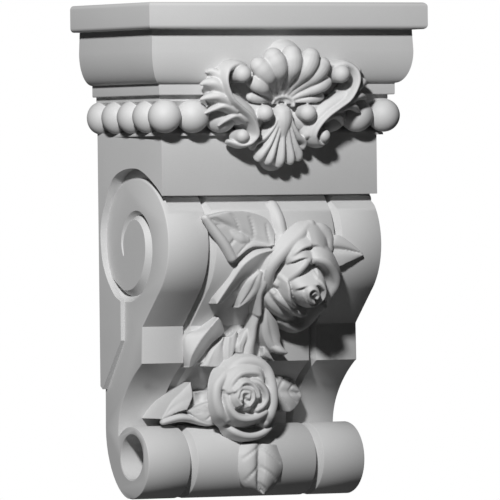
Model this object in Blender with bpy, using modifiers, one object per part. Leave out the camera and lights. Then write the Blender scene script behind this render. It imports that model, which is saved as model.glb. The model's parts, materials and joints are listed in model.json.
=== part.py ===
"""A moulded wall corbel: slab, mouldings and beads over a scrolled bracket with a shell and two roses.

All sizes are millimetres and become metres in to_world. A point is (x, out, z): x to the viewer's right,
out from the wall towards the viewer, z up. The origin is on the flat back, at about half the height.
"""

import math

import bmesh
import bpy
import numpy as np
from mathutils import Matrix, Vector

MM = 0.001
CUT_CLEAR = 8.0

# Slab and mouldings: half width, reach from the wall, and height
SLAB_HALF = 100.0
SLAB_OUT = 101.0
SLAB_TOP = 151.8
SLAB_UNDER = 135.1
SLAB_ROUND = 2.6
OVOLO_HALF = 94.0
OVOLO_OUT = 93.0
OVOLO_LIP = 0.6
OVOLO_TURN = 121.8
FILLET_HALF = 84.8
FILLET_OUT = 85.1
FILLET_TOP = 101.8
FILLET_UNDER = 94.6
NECKING_HALF = 82.0
NECKING_OUT = 80.8
NECKING_UNDER = 91.0
CHANNEL_HALF = 76.0
CHANNEL_OUT = 73.0
SHELF_HALF = 80.5
SHELF_OUT = 77.3
SHELF_TOP = 74.5
SHELF_EDGE = 70.8
SHELF_UNDER = 69.6

# Beads
BEAD_RADIUS = 10.4
BEAD_HALF = 78.8
BEAD_OUT = 80.8
BEAD_Z = 81.6
BEADS_ACROSS = 9
BEADS_DEEP = 5

# Block: fascia and back plate, whose sides widen towards the wall
BLOCK_TOP = 72.0
FASCIA_OUT = 74.3
FASCIA_UNDER = 32.3
BLOCK_HALF_FRONT = 77.5
BLOCK_HALF_WALL = 81.5
PLATE_EDGE_OUT = 24.6
PLATE_EDGE_UNDER = -57.4
PLATE_TIP_OUT = 2.5
PLATE_TIP_UNDER = -88.0
PLATE_TOP_OUT = 45.0
PLATE_EDGE_TOP = -30.0
PLATE_TIP_RISE = 2.0
BITE_FLOOR_HALF = 72.5
BITE_CURVE = [(86, 16), (74.3, 32.3), (62.4, 41.6), (50.8, 47.9), (41.5, 49.8), (28, 48.5), (16.7, 42.9),
              (8.2, 29), (2.8, 15), (2.6, 0.6), (6, -13), (15, -26.5), (25.4, -33.2), (60, -46)]

# Scroll
SCROLL_HALF = 76.9
SCROLL_SPREAD = 0.0095
VOLUTE_OUT = 38.8
VOLUTE_Z = 1.9
VOLUTE_RADIUS = 41.6
VOLUTE_FROM = 155.0
VOLUTE_TO = -48.0
LEDGE_OUT = 46.9
LEDGE_TOP = -48.8
LEDGE_UNDER = -71.7
ROLL_OUT = 31.8
ROLL_Z = -133.7
ROLL_RADIUS = 22.7
ROLL_FROM = 134.0
COVE_END_OUT = 16.1
COVE_END_Z = -113.5
COVE_BEND = [(33.0, -80.0), (16.1, -95.0)]
BACK_FOOT = -112.0
FOOT_BEND = [(16.0, -156.4), (0.0, -134.0)]
BACK_TOP = 18.9
GROOVE_X = 45.4
GROOVE_HALF = 3.2
GROOVE_DEPTH = 4.5

# The short upright neck under the fascia
NECK_HALF = 72.5
NECK_OUT = 68.3
NECK_UNDER = 28.0
NECK_CURVE = [(70.5, 26.6), (73.6, 23.9), (76.4, 20.4)]

# Hollows in the side faces
EYE_OUT = 33.1
EYE_Z = -129.9
EYE_RADIUS = 14.0
EYE_DEPTH = 24.0
SPIRAL = [(9.0, -19.5, 2.5), (14.5, -24.5, 5.0), (24.5, -29.5, 6.5), (36.5, -28.5, 7.5), (47.5, -21.5, 8.5),
          (54.3, -9.5, 9.0), (55.5, 2.5, 9.0), (51.5, 13.5, 8.0), (42.0, 20.3, 6.5), (31.5, 18.8, 5.0),
          (24.0, 11.0, 3.6), (21.8, 3.0, 2.6), (23.6, -4.5, 1.2)]
SPIRAL_DEPTH = 0.62
SPIRAL_MOUTH = 0.75
SPIRAL_CLEAR = 0.31

# Carving: finished as one skin of small cells, then kept to a share of its faces
CARVING_VOXEL = 1.1
CARVING_RATIO = 0.0275
ROSE_STEP = 1.1
HOLLOW_SLOPE = 1.4
STEEP = 4.5
SKIN = 0.01

# Cartouche. A path is a line of (x, out, z, half width, half height), and one that leaves the centre line
# has a mirror image. A rib goes from the hinge to its head, (x, out, z, radius), by shares of the way, the
# radius and the rise.
SHELL_HINGE = (90.0, 88.5)
SHELL_HEADS = [(0, 109.0, 123.5, 6.9), (15.2, 109.5, 121.8, 6.9), (25.8, 107.0, 115.8, 6.3),
               (30.0, 103.5, 104.0, 4.6), (28.5, 97.0, 94.0, 3.3)]
SHELL_RIB = [(0.10, 0.22, 0.02), (0.30, 0.32, 0.26), (0.46, 0.50, 0.60), (0.63, 0.86, 0.96),
             (0.77, 1.0, 1.04), (0.87, 0.9, 0.98)]
HINGE_HALF = 7.8
HINGE_RISE = 4.8
HINGE_BAR = (1.2, 2.5)
HINGE_TURNS = range(-10, 200, 30)
CARTOUCHE_PATHS = [
    ("cartouche ground", [(0, 73, 60, 10, 9), (0, 74, 75, 26, 10), (0, 75, 83, 37, 11), (0, 75, 90, 40, 11),
                          (0, 78, 104, 41, 12)]),
    ("shell ground", [(0, 80, 92, 14, 6), (0, 86, 100, 22, 8), (0, 90, 108, 23, 9), (0, 91, 114, 15, 9)]),
    ("tongue ground", [(0, 79, 82, 7, 8), (0, 79, 72, 9, 8), (0, 78, 62, 14, 7), (0, 77, 57, 10, 6)]),
    ("tongue", [(0.3, 88.5, 82.6, 6.2, 7.5), (0.2, 88, 78.5, 6.4, 8), (0, 85, 72, 5.4, 8)]),
    ("tongue finger", [(0, 86, 80, 2.6, 7.5), (0, 85, 70, 2.8, 7.5), (0, 85, 60, 3.2, 7),
                       (0, 85, 55, 3.4, 6), (0, 84, 52.5, 3.1, 4.5)]),
    ("tongue finger", [(-1.7, 86.5, 83, 2.2, 7), (-2.4, 86, 75.5, 2.4, 7.5), (-5.0, 85, 64.7, 2.6, 7),
                       (-7.2, 85, 56.5, 3.0, 6), (-7.8, 84, 54, 2.8, 4.5)]),
    ("tongue finger", [(-2.8, 86.5, 83, 2.2, 7), (-4.5, 86, 75.5, 2.4, 7.5), (-9.0, 85, 64.6, 2.6, 7),
                       (-13.0, 84.5, 58.5, 3.2, 6), (-14.0, 83.5, 56, 2.9, 4.5)]),
    ("tongue finger", [(-3.9, 86.5, 83, 2.2, 7), (-6.4, 86, 76, 2.4, 7.5), (-12, 84.5, 68.5, 2.6, 7),
                       (-16.8, 83.5, 65.5, 2.6, 5.5), (-17.8, 82, 63, 2.3, 4.5)]),
    ("acanthus ridge", [(-33.0, 94, 112.8, 2.4, 8), (-39.0, 95, 113.4, 3.2, 9),
                        (-45.0, 96, 110.4, 3.2, 9), (-47.5, 97, 105.0, 2.5, 9),
                        (-46.2, 96.5, 98.5, 2.2, 9), (-42.0, 95.5, 91.5, 2.2, 9),
                        (-35.5, 94, 86.5, 2.3, 9), (-28.8, 92.5, 81.8, 2.4, 9),
                        (-23.8, 90.5, 76.5, 2.5, 9), (-21.4, 88, 71.0, 2.6, 9), (-23.0, 86, 66.0, 2.6, 8),
                        (-28.0, 84, 63.6, 2.4, 7), (-34.5, 82, 65.5, 1.8, 5)]),
    ("acanthus face", [(-44.0, 92, 97.0, 1.8, 6), (-39.8, 92.5, 92.6, 4.0, 6.5),
                       (-33.5, 91.5, 88.4, 5.0, 7), (-26.8, 90.5, 83.4, 4.8, 7),
                       (-21.8, 88, 77.2, 4.2, 7), (-19.0, 86, 71.0, 3.6, 6.5)]),
    ("acanthus leaf", [(-54.5, 91, 108.8, 0.9, 2), (-52.0, 93, 109.0, 2.4, 4),
                       (-48.0, 94, 106.5, 4.0, 6.5)]),
    ("acanthus leaf", [(-59.0, 92, 101.2, 0.9, 2), (-56.0, 93.5, 102.0, 2.6, 4),
                       (-51.5, 95, 101.2, 4.0, 6.5), (-45.5, 94, 96.5, 4.0, 7)]),
    ("acanthus leaf", [(-59.0, 91.5, 91.8, 0.8, 2), (-55.5, 93, 93.0, 2.2, 4),
                       (-49.5, 94.5, 93.5, 3.6, 6.5), (-42.5, 93.5, 90.0, 4.0, 7)]),
    ("acanthus leaf", [(-55.0, 89.5, 83.4, 0.7, 2), (-51.5, 91.5, 85.6, 1.7, 4),
                       (-45.5, 93, 87.6, 2.8, 6.5), (-37.0, 92, 85.0, 3.4, 7)]),
    ("acanthus leaf", [(-44.5, 87.5, 75.8, 0.7, 2), (-41.5, 89.5, 79.0, 1.7, 4),
                       (-36.0, 91, 81.8, 2.6, 6.5), (-29.0, 90, 79.5, 3.0, 7)]),
    ("acanthus web", [(-50, 86.5, 105, 4, 8), (-47, 87, 96, 6.5, 8), (-38, 86, 87, 6.5, 8),
                      (-31, 83, 80, 4, 8)]),
    ("acanthus eye", [(-35.5, 86, 107.2, 5.2, 5.2), (-35.5, 103, 107.2, 5.6, 5.6)]),
    ("acanthus eye", [(-29.2, 82, 69.0, 4.0, 4.0), (-29.2, 91, 69.0, 4.3, 4.3)]),
    ("trumpet", [(-31.0, 89, 88.0, 2.6, 2.6), (-24.0, 90, 86.0, 3.6, 3.6), (-17.5, 90.5, 84.0, 4.6, 4.6)]),
    ("trumpet bell", [(-16.0, 88, 83.4, 5.0, 5.0), (-15.4, 95.5, 83.0, 5.4, 5.4)]),
]

# Roses: centre and facing, width and height, and the height of the back with how fast it is cut away to
# the left. For each petal, the line of its rim as (right, up, height), the depth and reach of the hollow
# inside it, the slope and reach of its back, and the radius of its rim.
LOWER_ROSE = ((-13.5, 50, -89), (-0.05, 0.99, 0.05))
LOWER_SIZE = (72, 72)
LOWER_BACK = (-4.0, 0.023)
LOWER_PETALS = [
    ([(-12, -18.5, 12), (-17.5, -14, 13.5), (-21, -6.5, 14.5), (-20, 1.5, 14.5), (-14.5, 8, 14),
      (-8, 11.5, 13)], (7, 12), (2.0, 2), 3.8),
    ([(-8.5, 13, 12), (-4, 17, 13.5), (3, 18.5, 14.5), (11, 17, 15), (16.5, 12.5, 15), (19, 6, 15.5),
      (20, -2, 16), (20, -10, 15.5), (18, -17.5, 14), (17, -20, 12)], (7, 12), (2.0, 2), 3.8),
    ([(27, -22, 7), (20, -26.5, 8), (12.5, -29.5, 8.5), (4.5, -29.5, 8.5), (-3, -27, 8),
      (-8.5, -23.5, 7)], (7, 9), (1.0, 4), 1.8),
    ([(14, -15, 15), (7.5, -18, 16), (-0.5, -19, 16.5), (-7.5, -17, 16.5), (-12.5, -11.5, 16),
      (-14, -4.5, 15)], (6, 8), (1.5, 2), 2.4),
    ([(-13, -1.5, 17), (-9.5, 4.5, 18), (-4, 9, 19), (2.5, 10, 19), (9, 9, 18.5),
      (11.5, 4.5, 17)], (6, 8), (1.0, 3), 1.8),
    ([(3.5, 4.5, 19), (8, 3, 20), (12.5, -1.5, 19.5), (14, -6.5, 18.5), (11.5, -11, 17.5),
      (7.5, -13.5, 17)], (4, 7), (1.2, 2), 1.5),
    ([(-9.5, -1.5, 20), (-6.5, 0.5, 20.5), (-3.5, 3.5, 21), (2, 3, 20.5), (6, -1, 20.5),
      (7.5, -5.5, 20)], (3.5, 5), (1.2, 2), 1.1),
    ([(-5, -10, 20), (-7.5, -7, 20), (-7.5, -4.5, 20.5), (-5.5, -0.5, 20.5), (-1.5, 0, 20.5),
      (3, -2, 20.5), (3.5, -7, 20.5), (0.5, -11, 20)], (2.5, 4), (1.2, 2), 0.9),
    ([(-5, -7, 20.5), (-5, -4, 20.5), (-3.5, -2.5, 20.5), (0.5, -3, 20.5), (0, -6, 20.5)], (2, 2),
     (1.2, 2), 0.7),
]
UPPER_ROSE = ((20.5, 72.5, -21.5), (0.0, 0.89, -0.46))
UPPER_SIZE = (76, 96)
UPPER_BACK = (-8.0, 0.016)
UPPER_PETALS = [
    ([(-21, -4, 4), (-23.5, -1, 6), (-25.5, 5, 7.5), (-25.5, 12.5, 8), (-21.5, 20, 7.5), (-15.5, 25.5, 5),
      (-7.5, 30, 1), (0, 33, -4)], (9, 5.0), (2.5, 2), 4.2),
    ([(-15.5, 15.5, 6), (-14.5, 20, 8.5), (-13, 25, 10), (-9.5, 29, 10)], (5, 6), (4.5, 1), 1.2),
    ([(-11, 27.5, 9.5), (-7, 30, 9.5), (-3, 30, 9), (3.5, 27.5, 8.5), (8.5, 22.5, 9)], (5, 6), (1.6, 7),
     1.4),
    ([(-15.5, 16.5, 8), (-14, 19.5, 11), (-11, 22, 12.5), (-7.5, 23, 13), (-2.5, 22, 12.5)], (6, 3),
     (1.5, 2.5), 0.8),
    ([(6, 31, -4), (11, 31, -3), (15.5, 27, -1), (15.5, 22, 2)], (1.5, 8), (2.0, 3), 5.5),
    ([(-18.5, 1.5, 8.5), (-15.5, 5, 12), (-13, 9.5, 14.5), (-10, 14.5, 16), (-7, 18.5, 15.5),
      (-4.5, 20.5, 14)], (6, 4), (3.0, 1.5), 2.6),
    ([(-1, 19.5, 12.5), (2.5, 21.5, 15), (8.5, 19.5, 16), (15, 13.5, 15.5), (19.5, 6.5, 15),
      (20.5, -0.5, 13.5), (20, -8, 10)], (7, 8), (1.5, 3), 2.8),
    ([(-14.5, 5, 18), (-12.5, 7, 21), (-8, 7, 22.5), (-2.5, 8.5, 23.5), (1.5, 9.5, 23.5),
      (5.5, 8, 22)], (3, 3), (0.8, 3), 0.8),
    ([(6, -8, 18), (1.5, -7, 21.5), (-3, -3.5, 23), (-7, 1.5, 23.8), (-7.5, 6, 22)], (2.5, 3), (0.5, 4.5),
     0.7),
    ([(-6, -12, 14), (-10.5, -8, 18), (-14, -3, 19.5), (-15.5, 3, 20), (-16, 7, 18.5)], (3, 3), (4.5, 4),
     0.9),
    ([(0, -3, 24.5), (-4, -0.5, 25), (-6.5, 3.5, 25.3), (-6.5, 6.5, 25.5), (-4, 8, 25.5),
      (-0.5, 6.5, 25.5), (1.5, 3, 25.2), (0.5, 0.5, 25)], (2.5, 2.5), (1.0, 3), 0.8),
    ([(-3.5, 3, 25), (-2, 5, 25), (0, 3.5, 25)], (1.5, 1.5), (1.2, 2), 0.7),
    ([(1, 11.5, 21.5), (4, 8.5, 23), (6.5, 4, 23.5), (7.5, -1, 22.5), (6, -6, 20)], (3, 3), (1.5, 4), 0.6),
    ([(2, -26, 1), (-3.5, -23.5, 4), (-9.5, -19.5, 6.5), (-16.5, -14.5, 7), (-20.5, -10, 6),
      (-22.5, -5.5, 4)], (5, 7), (1.6, 3), 3.4),
    ([(8, -22, 4.5), (3.5, -20.5, 8.5), (-3, -16.5, 11), (-11.5, -11.5, 12.5), (-17, -8, 12),
      (-20, -6, 10)], (5, 6), (1.4, 4), 2.0),
    ([(19, -15.5, 8), (16.5, -21, 6), (13.5, -28.5, 4), (8, -33, 3), (0, -30.5, 3),
      (-7, -27, 3)], (3, 12), (1.0, 3), 2.5),
]

# Leaves: name, depth towards the wall, swell of each half, depth of the midrib crease, and the left edge,
# midrib and right edge from base to tip
LEAVES = [
    ("stem leaf left", 12, 0.6, 1.2, (
        [(-0.5, 80, 9), (-6, 80, 17.5), (-20, 81.5, 22), (-34.5, 83, 22.5), (-52, 84.5, 19)],
        [(-2.5, 83, 1), (-14, 82, 3.5), (-23.5, 81.5, 7.5), (-35, 82, 13.5), (-52, 84.5, 19)],
        [(-6.5, 83, 0), (-19.5, 83.5, -0.5), (-31.5, 84, -7.5), (-38, 84.5, -1.5), (-52, 84.5, 18)])),
    ("drooping leaf", 18, 0.6, 0.0, (
        [(-5, 81, -0.5), (-17, 79, -1.5), (-27.5, 77, -9), (-33, 72, -20), (-37.5, 67, -31.5)],
        [(-4, 85, -2), (-14.5, 84, -4.5), (-24, 82, -11), (-30.5, 77, -22), (-37.5, 71, -35)],
        [(-3, 80, -4.5), (-5, 79, -8), (-11.5, 76, -16), (-20, 71, -23), (-31.5, 67, -35)])),
    ("small leaf", 16, 1.2, 0.8, (
        [(-11.5, 76, -15.5), (-17, 74, -20), (-19, 71, -25.5), (-19.5, 67, -32), (-19, 64, -37.5)],
        [(-11.5, 80, -14.5), (-13, 78, -20), (-14, 74, -26.5), (-17, 69, -33.5), (-19.5, 65, -37.5)],
        [(-8, 78, -16), (-8, 76, -23.5), (-7, 74, -26.5), (-10.5, 69, -33), (-18.5, 65, -38)])),
    ("stem leaf right", 14, 0.8, 1.6, (
        [(37, 80, 5), (44, 82, 7), (53, 82.5, 2), (62, 81.5, -4.5)],
        [(31.5, 81, -3), (40.5, 82, -2), (49.5, 82, -2.5), (62, 81.5, -5)],
        [(35, 80, -6.5), (43.5, 81, -13), (52.5, 82, -10), (62.5, 81.5, -6.5)])),
    ("hanging leaf left", 14, 0.8, -0.6, (
        [(-29, 55, -43), (-37.5, 51, -50.5), (-47.5, 50, -54.5), (-48.5, 50, -64), (-46, 46, -75)],
        [(-30, 60, -43.5), (-35.5, 58, -50), (-41, 56, -57.5), (-46, 54, -66.5), (-46.5, 50, -74.5)],
        [(-25, 56, -47.5), (-23, 54, -53.5), (-30, 52, -59.5), (-35, 50, -66), (-41.5, 48, -74.5)])),
    ("fan leaf outer", 10, 0.8, 0.0, (
        [(-23.5, 49, -58.5), (-29.5, 49, -63.5), (-33, 49, -69.5), (-35.5, 48, -74)],
        [(-22.5, 52, -56), (-26.5, 51.5, -62), (-29.5, 51, -68), (-31, 50, -74.5)],
        [(-20.5, 50, -56), (-21.5, 50.5, -62), (-21.5, 51, -67.5), (-21.5, 49.5, -74.5)])),
    ("fan leaf middle", 10, 1.0, 0.0, (
        [(-20.5, 51, -56), (-21.5, 51.5, -62), (-21.5, 51.5, -67.5), (-20.5, 50, -73.5)],
        [(-17, 53, -55.5), (-18, 53.5, -61), (-18.5, 53.5, -66.5), (-18.5, 52, -73)],
        [(-11.5, 51, -51.5), (-12.5, 52, -57.5), (-13.5, 52, -62.5), (-16.5, 51, -70.5)])),
    ("fan leaf inner", 10, 1.0, 0.0, (
        [(-10.5, 51, -55), (-12, 52, -58.5), (-14, 53, -62), (-13, 52, -66)],
        [(-6.5, 54, -51), (-10, 55, -56.5), (-11, 55, -61), (-11, 54, -66)],
        [(-3, 52, -51), (-5, 53, -57.5), (-7.5, 53, -61.5), (-8.5, 52, -66.5)])),
    ("pendant leaf", 16, 0.8, 0.6, (
        [(1, 62, -39.5), (1, 60, -48), (4, 57, -57.5), (11, 55, -65.5), (21.5, 55, -67)],
        [(0.5, 66, -38), (3.5, 64, -45.5), (8, 60, -55), (12, 58, -61.5), (21, 57, -67)],
        [(5, 64, -41.5), (11.5, 61, -47), (15.5, 58, -55.5), (16.5, 57, -61), (22, 56, -66.5)])),
    ("sprig", 8, 0.6, 0.4, (
        [(7, 49, -66.5), (7, 49, -68.5), (10.5, 49, -70), (15, 49, -71)],
        [(6.5, 52, -63), (8, 52, -66.5), (11.5, 51, -69), (14.5, 50, -71)],
        [(9, 50, -62.5), (11, 51, -65.5), (13.5, 50, -68.5), (15.5, 49, -71)])),
    ("rose leaf tip", 28, 0.4, 0.0, (
        [(-39, 40, -84), (-47, 41, -90), (-55, 42, -96.5), (-61.5, 42, -106)],
        [(-39.5, 43, -93), (-48, 43.5, -96), (-55, 43, -100), (-61.5, 42, -106.5)],
        [(-44.5, 45, -101), (-49.5, 45, -102), (-55, 44, -104), (-61, 42, -106.5)])),
    ("rose leaf lobe", 28, 0.6, 0.0, (
        [(-24.5, 42, -95.5), (-29.5, 43, -97), (-34.5, 43, -98.5), (-43, 44, -101.5)],
        [(-23.5, 44, -102.5), (-30, 45, -103), (-35.5, 45, -102.5), (-43.5, 44.5, -101.5)],
        [(-23, 45, -108.5), (-29.5, 46, -109.5), (-37, 46, -107), (-44, 45, -102)])),
    ("rose leaf hollow", 22, -0.6, 0.6, (
        [(-20.5, 34, -89.5), (-26, 35, -89.5), (-31, 36, -90), (-35, 38, -90.5)],
        [(-22.5, 37, -93), (-27.5, 37, -93.5), (-31, 36, -95), (-35.5, 37, -95.5)],
        [(-23.5, 38, -97), (-28, 38, -98), (-31.5, 38, -100.5), (-38, 38, -101)])),
    ("rose leaf right", 24, 0.8, 1.2, (
        [(23.5, 38, -78), (27.5, 38, -79), (33, 38, -83.5), (41, 37, -87.5)],
        [(22.5, 40, -87), (27.5, 41, -87.5), (32.5, 41, -87), (40, 38, -88.5)],
        [(26.5, 40, -98.5), (31.5, 40, -102), (37.5, 39, -97.5), (40.5, 38, -89.5)])),
    ("roll leaf", 12, 2.4, 2.6, (
        [(-10.5, 52, -122.5), (-14, 54, -130), (-13.5, 54, -141), (-8, 51, -150), (5.5, 49, -155.5)],
        [(1.5, 55, -123), (-0.5, 58, -130.5), (-0.5, 58, -140), (0, 56, -147.5), (5.5, 50, -155)],
        [(15.5, 52, -124), (18.5, 54, -134), (17.5, 54, -141.5), (14, 51, -150.5), (7, 49, -155.5)])),
]
STEMS = [
    ("upper stem", [(3, 69, 23, 5.5, 7), (3.5, 74, 15, 5.5, 8), (4, 76, 6, 5, 8), (1.5, 78, -2, 5, 8),
                    (-1.5, 78, -8, 6, 7), (-5, 74, -16.5, 4.5, 8), (-7, 66, -28, 3, 8),
                    (-4, 60, -40, 2.5, 7)]),
    ("lower stem", [(-2.5, 60, -37, 2.5, 6), (-3, 54, -48, 3, 6), (-3, 51, -56.5, 3.6, 6),
                    (-4, 49, -63.5, 5, 6), (-4, 47, -68.5, 6.5, 6)]),
    ("curled edge", [(-52, 82.5, 18.5, 2, 3), (-44.5, 82, 9.5, 3, 4), (-38, 82, 1.5, 3.2, 4),
                     (-32.5, 81, -6.5, 3, 4)]),
    ("leaf lobe", [(-33, 77, 8.5, 4, 6), (-26.5, 77, 5, 5, 7), (-22, 77, 4, 4, 6)]),
    ("curled tip", [(11.5, 54, -63, 2.2, 4), (15.5, 55, -65, 2.4, 4), (20, 55, -66.5, 1.4, 3)]),
    ("rolled edge", [(-60, 41, -108.5, 1.8, 3), (-50, 41, -106, 2.8, 5), (-43, 41, -106.5, 2.4, 5.5),
                     (-37.5, 41.5, -108.5, 1.6, 5), (-29, 41, -110.5, 1.2, 5), (-19, 40, -109, 1.2, 4)]),
]

# What holds the roses up from behind
ROOTS = [("upper root", [(21, 56, -12, 16, 14), (21, 60, -24, 15, 12)]),
         ("lower root", [(-9, 26, -92, 13, 15), (-9, 44, -90, 13, 13)]),
         ("foot of the lower rose", [(8, 28, -106, 14, 10), (8, 42, -104, 13, 9)])]

PRIMER = (0.62, 0.62, 0.62, 1.0)
PRIMER_ROUGHNESS = 0.6


def to_world(point):
    return Vector((point[0] * MM, -point[1] * MM, point[2] * MM))


# Scene set-up

def clear_scene():
    for old in list(bpy.data.objects):
        bpy.data.objects.remove(old)


def new_collection(name):
    collection = bpy.data.collections.new(name)
    bpy.context.scene.collection.children.link(collection)
    return collection


def mesh_object(name, points, faces, collection):
    mesh = bpy.data.meshes.new(name)
    mesh.from_pydata([to_world(p) for p in points], [], faces)
    work = bmesh.new()
    work.from_mesh(mesh)
    bmesh.ops.recalc_face_normals(work, faces=work.faces)
    work.to_mesh(mesh)
    work.free()
    made = bpy.data.objects.new(name, mesh)
    collection.objects.link(made)
    return made


def guide(made):
    made.hide_render = True
    made.display_type = "WIRE"
    return made


def boolean(target, operation, other=None, group=None):
    step = target.modifiers.new(operation.title(), "BOOLEAN")
    step.operation = operation
    step.solver = "EXACT"
    if group is None:
        step.object = other
    else:
        step.operand_type = "COLLECTION"
        step.collection = group
    return step


def fused(name, pieces, collection):
    """One closed body from overlapping pieces, with the soft joints that a casting has."""
    work = bmesh.new()
    for piece in pieces:
        mesh = piece.data.copy()
        mesh.transform(Matrix.Translation(piece.location))
        work.from_mesh(mesh)
        bpy.data.meshes.remove(mesh)
    rough = mesh_from(work, name + " pieces")
    made = bpy.data.objects.new(name, rough)
    collection.objects.link(made)
    skin = made.modifiers.new("Remesh", "REMESH")
    skin.mode = "VOXEL"
    skin.voxel_size = CARVING_VOXEL * MM
    made.data = without_pockets(made)
    made.modifiers.clear()
    fewer = made.modifiers.new("Decimate", "DECIMATE")
    fewer.ratio = CARVING_RATIO
    return guide(made)


def mesh_from(work, name):
    mesh = bpy.data.meshes.new(name)
    work.to_mesh(mesh)
    work.free()
    return mesh


def without_pockets(made):
    """The object's evaluated mesh without the inner shells that bound closed pockets."""
    seen_by = bpy.context.evaluated_depsgraph_get()
    work = bmesh.new()
    work.from_mesh(bpy.data.meshes.new_from_object(made.evaluated_get(seen_by)))
    left = set(work.verts)
    pockets = []
    while left:
        island = [left.pop()]
        for vertex in island:
            for edge in vertex.link_edges:
                other = edge.other_vert(vertex)
                if other in left:
                    left.remove(other)
                    island.append(other)
        faces = {face for vertex in island for face in vertex.link_faces}
        volume = sum(face.calc_center_median().dot(face.normal) * face.calc_area() for face in faces)
        if volume < 0:
            pockets += island
    bmesh.ops.delete(work, geom=pockets, context="VERTS")
    return mesh_from(work, made.name)


# Curves

def arc(centre_out, centre_z, radius, start, end, steps):
    points = []
    for k in range(steps + 1):
        angle = math.radians(start + (end - start) * k / steps)
        points.append((centre_out + radius * math.cos(angle), centre_z + radius * math.sin(angle)))
    return points


def bezier(a, b, c, d, steps):
    points = []
    for k in range(steps + 1):
        t = k / steps
        weights = ((1 - t) ** 3, 3 * t * (1 - t) ** 2, 3 * t * t * (1 - t), t ** 3)
        points.append(tuple(sum(w * p[i] for w, p in zip(weights, (a, b, c, d))) for i in range(len(a))))
    return points


def smooth(points, steps):
    """A Catmull-Rom curve through the points, with the given number of steps between neighbours."""
    result = []
    last = len(points) - 1
    for k in range(last):
        p0, p1, p2, p3 = points[max(k - 1, 0)], points[k], points[k + 1], points[min(k + 2, last)]
        for s in range(steps):
            t = s / steps
            result.append(tuple(
                0.5 * (2 * p1[i] + (p2[i] - p0[i]) * t + (2 * p0[i] - 5 * p1[i] + 4 * p2[i] - p3[i]) * t * t
                       + (3 * p1[i] - p0[i] - 3 * p2[i] + p3[i]) * t ** 3)
                for i in range(len(p1))))
    result.append(points[last])
    return result


# Solids from sections

def loft(name, rings, collection):
    """A closed solid through rings of equal length, with a flat face on each end ring."""
    count = len(rings[0])
    points = [p for ring in rings for p in ring]
    faces = [list(range(count))[::-1], list(range(len(points) - count, len(points)))]
    for r in range(len(rings) - 1):
        for k in range(count):
            after = (k + 1) % count
            faces.append([r * count + k, r * count + after, (r + 1) * count + after, (r + 1) * count + k])
    return mesh_object(name, points, faces, collection)


def with_round_ends(line):
    """The line with two smaller sections added beyond each end, and the two end points."""
    longer, tips = list(line), []
    for end, inner in ((line[0], line[1]), (line[-1], line[-2])):
        away = (Vector(end[:3]) - Vector(inner[:3])).normalized() * end[3]
        caps = []
        for angle in (math.radians(35), math.radians(65)):
            spot = Vector(end[:3]) + away * math.sin(angle)
            shrink = math.cos(angle)
            caps.append(tuple(spot) + (end[3] * shrink, end[4] * shrink))
        longer = caps[::-1] + longer if end is line[0] else longer + caps
        tips.append(tuple(Vector(end[:3]) + away))
    return longer, tips


def tube(name, path, collection, sides=8, steps=3):
    """A tapering bar with round ends along a path of (x, out, z, half width, half height).

    Half width lies along the surface behind it and half height stands out from the wall.
    """
    line, tips = with_round_ends(smooth(path, steps))
    outward = Vector((0, 1, 0))
    points = []
    for k, row in enumerate(line):
        before = Vector(line[max(k - 1, 0)][:3])
        after = Vector(line[min(k + 1, len(line) - 1)][:3])
        along = (after - before).normalized()
        lift = outward - along * outward.dot(along)
        if lift.length < 0.15:
            lift = Vector((0, 0, 1)) - along * along.z
        lift.normalize()
        side = along.cross(lift)
        for s in range(sides):
            angle = 2 * math.pi * s / sides
            points.append(tuple(Vector(row[:3]) + side * (row[3] * math.cos(angle))
                                + lift * (row[4] * math.sin(angle))))
    faces = []
    for r in range(len(line) - 1):
        for s in range(sides):
            after = (s + 1) % sides
            faces.append([r * sides + s, r * sides + after, (r + 1) * sides + after, (r + 1) * sides + s])
    points.extend(tips)
    start, end = len(points) - 2, len(points) - 1
    base = (len(line) - 1) * sides
    for s in range(sides):
        after = (s + 1) % sides
        faces.append([start, after, s])
        faces.append([end, base + s, base + after])
    return guide(mesh_object(name, points, faces, collection))


def sheet(name, top, under, collection):
    """A closed solid between two grids of points of the same size."""
    rows, columns = len(top), len(top[0])
    points = [p for row in top for p in row] + [p for row in under for p in row]
    shift = rows * columns
    faces = []
    for r in range(rows - 1):
        for c in range(columns - 1):
            a = r * columns + c
            quad = [a, a + 1, a + columns + 1, a + columns]
            faces.append(quad)
            faces.append([shift + k for k in reversed(quad)])
    rim = [c for c in range(columns)]
    rim += [r * columns + columns - 1 for r in range(1, rows)]
    rim += [(rows - 1) * columns + c for c in range(columns - 2, -1, -1)]
    rim += [r * columns for r in range(rows - 2, 0, -1)]
    for k, a in enumerate(rim):
        b = rim[(k + 1) % len(rim)]
        faces.append([a, shift + a, shift + b, b])
    return guide(mesh_object(name, points, faces, collection))


def ball(name, centre, radius, collection, segments=12, rings=7):
    mesh = bpy.data.meshes.new(name)
    work = bmesh.new()
    bmesh.ops.create_uvsphere(work, u_segments=segments, v_segments=rings, radius=radius * MM)
    work.to_mesh(mesh)
    work.free()
    made = bpy.data.objects.new(name, mesh)
    made.location = to_world(centre)
    collection.objects.link(made)
    return guide(made)


# Construction

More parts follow.
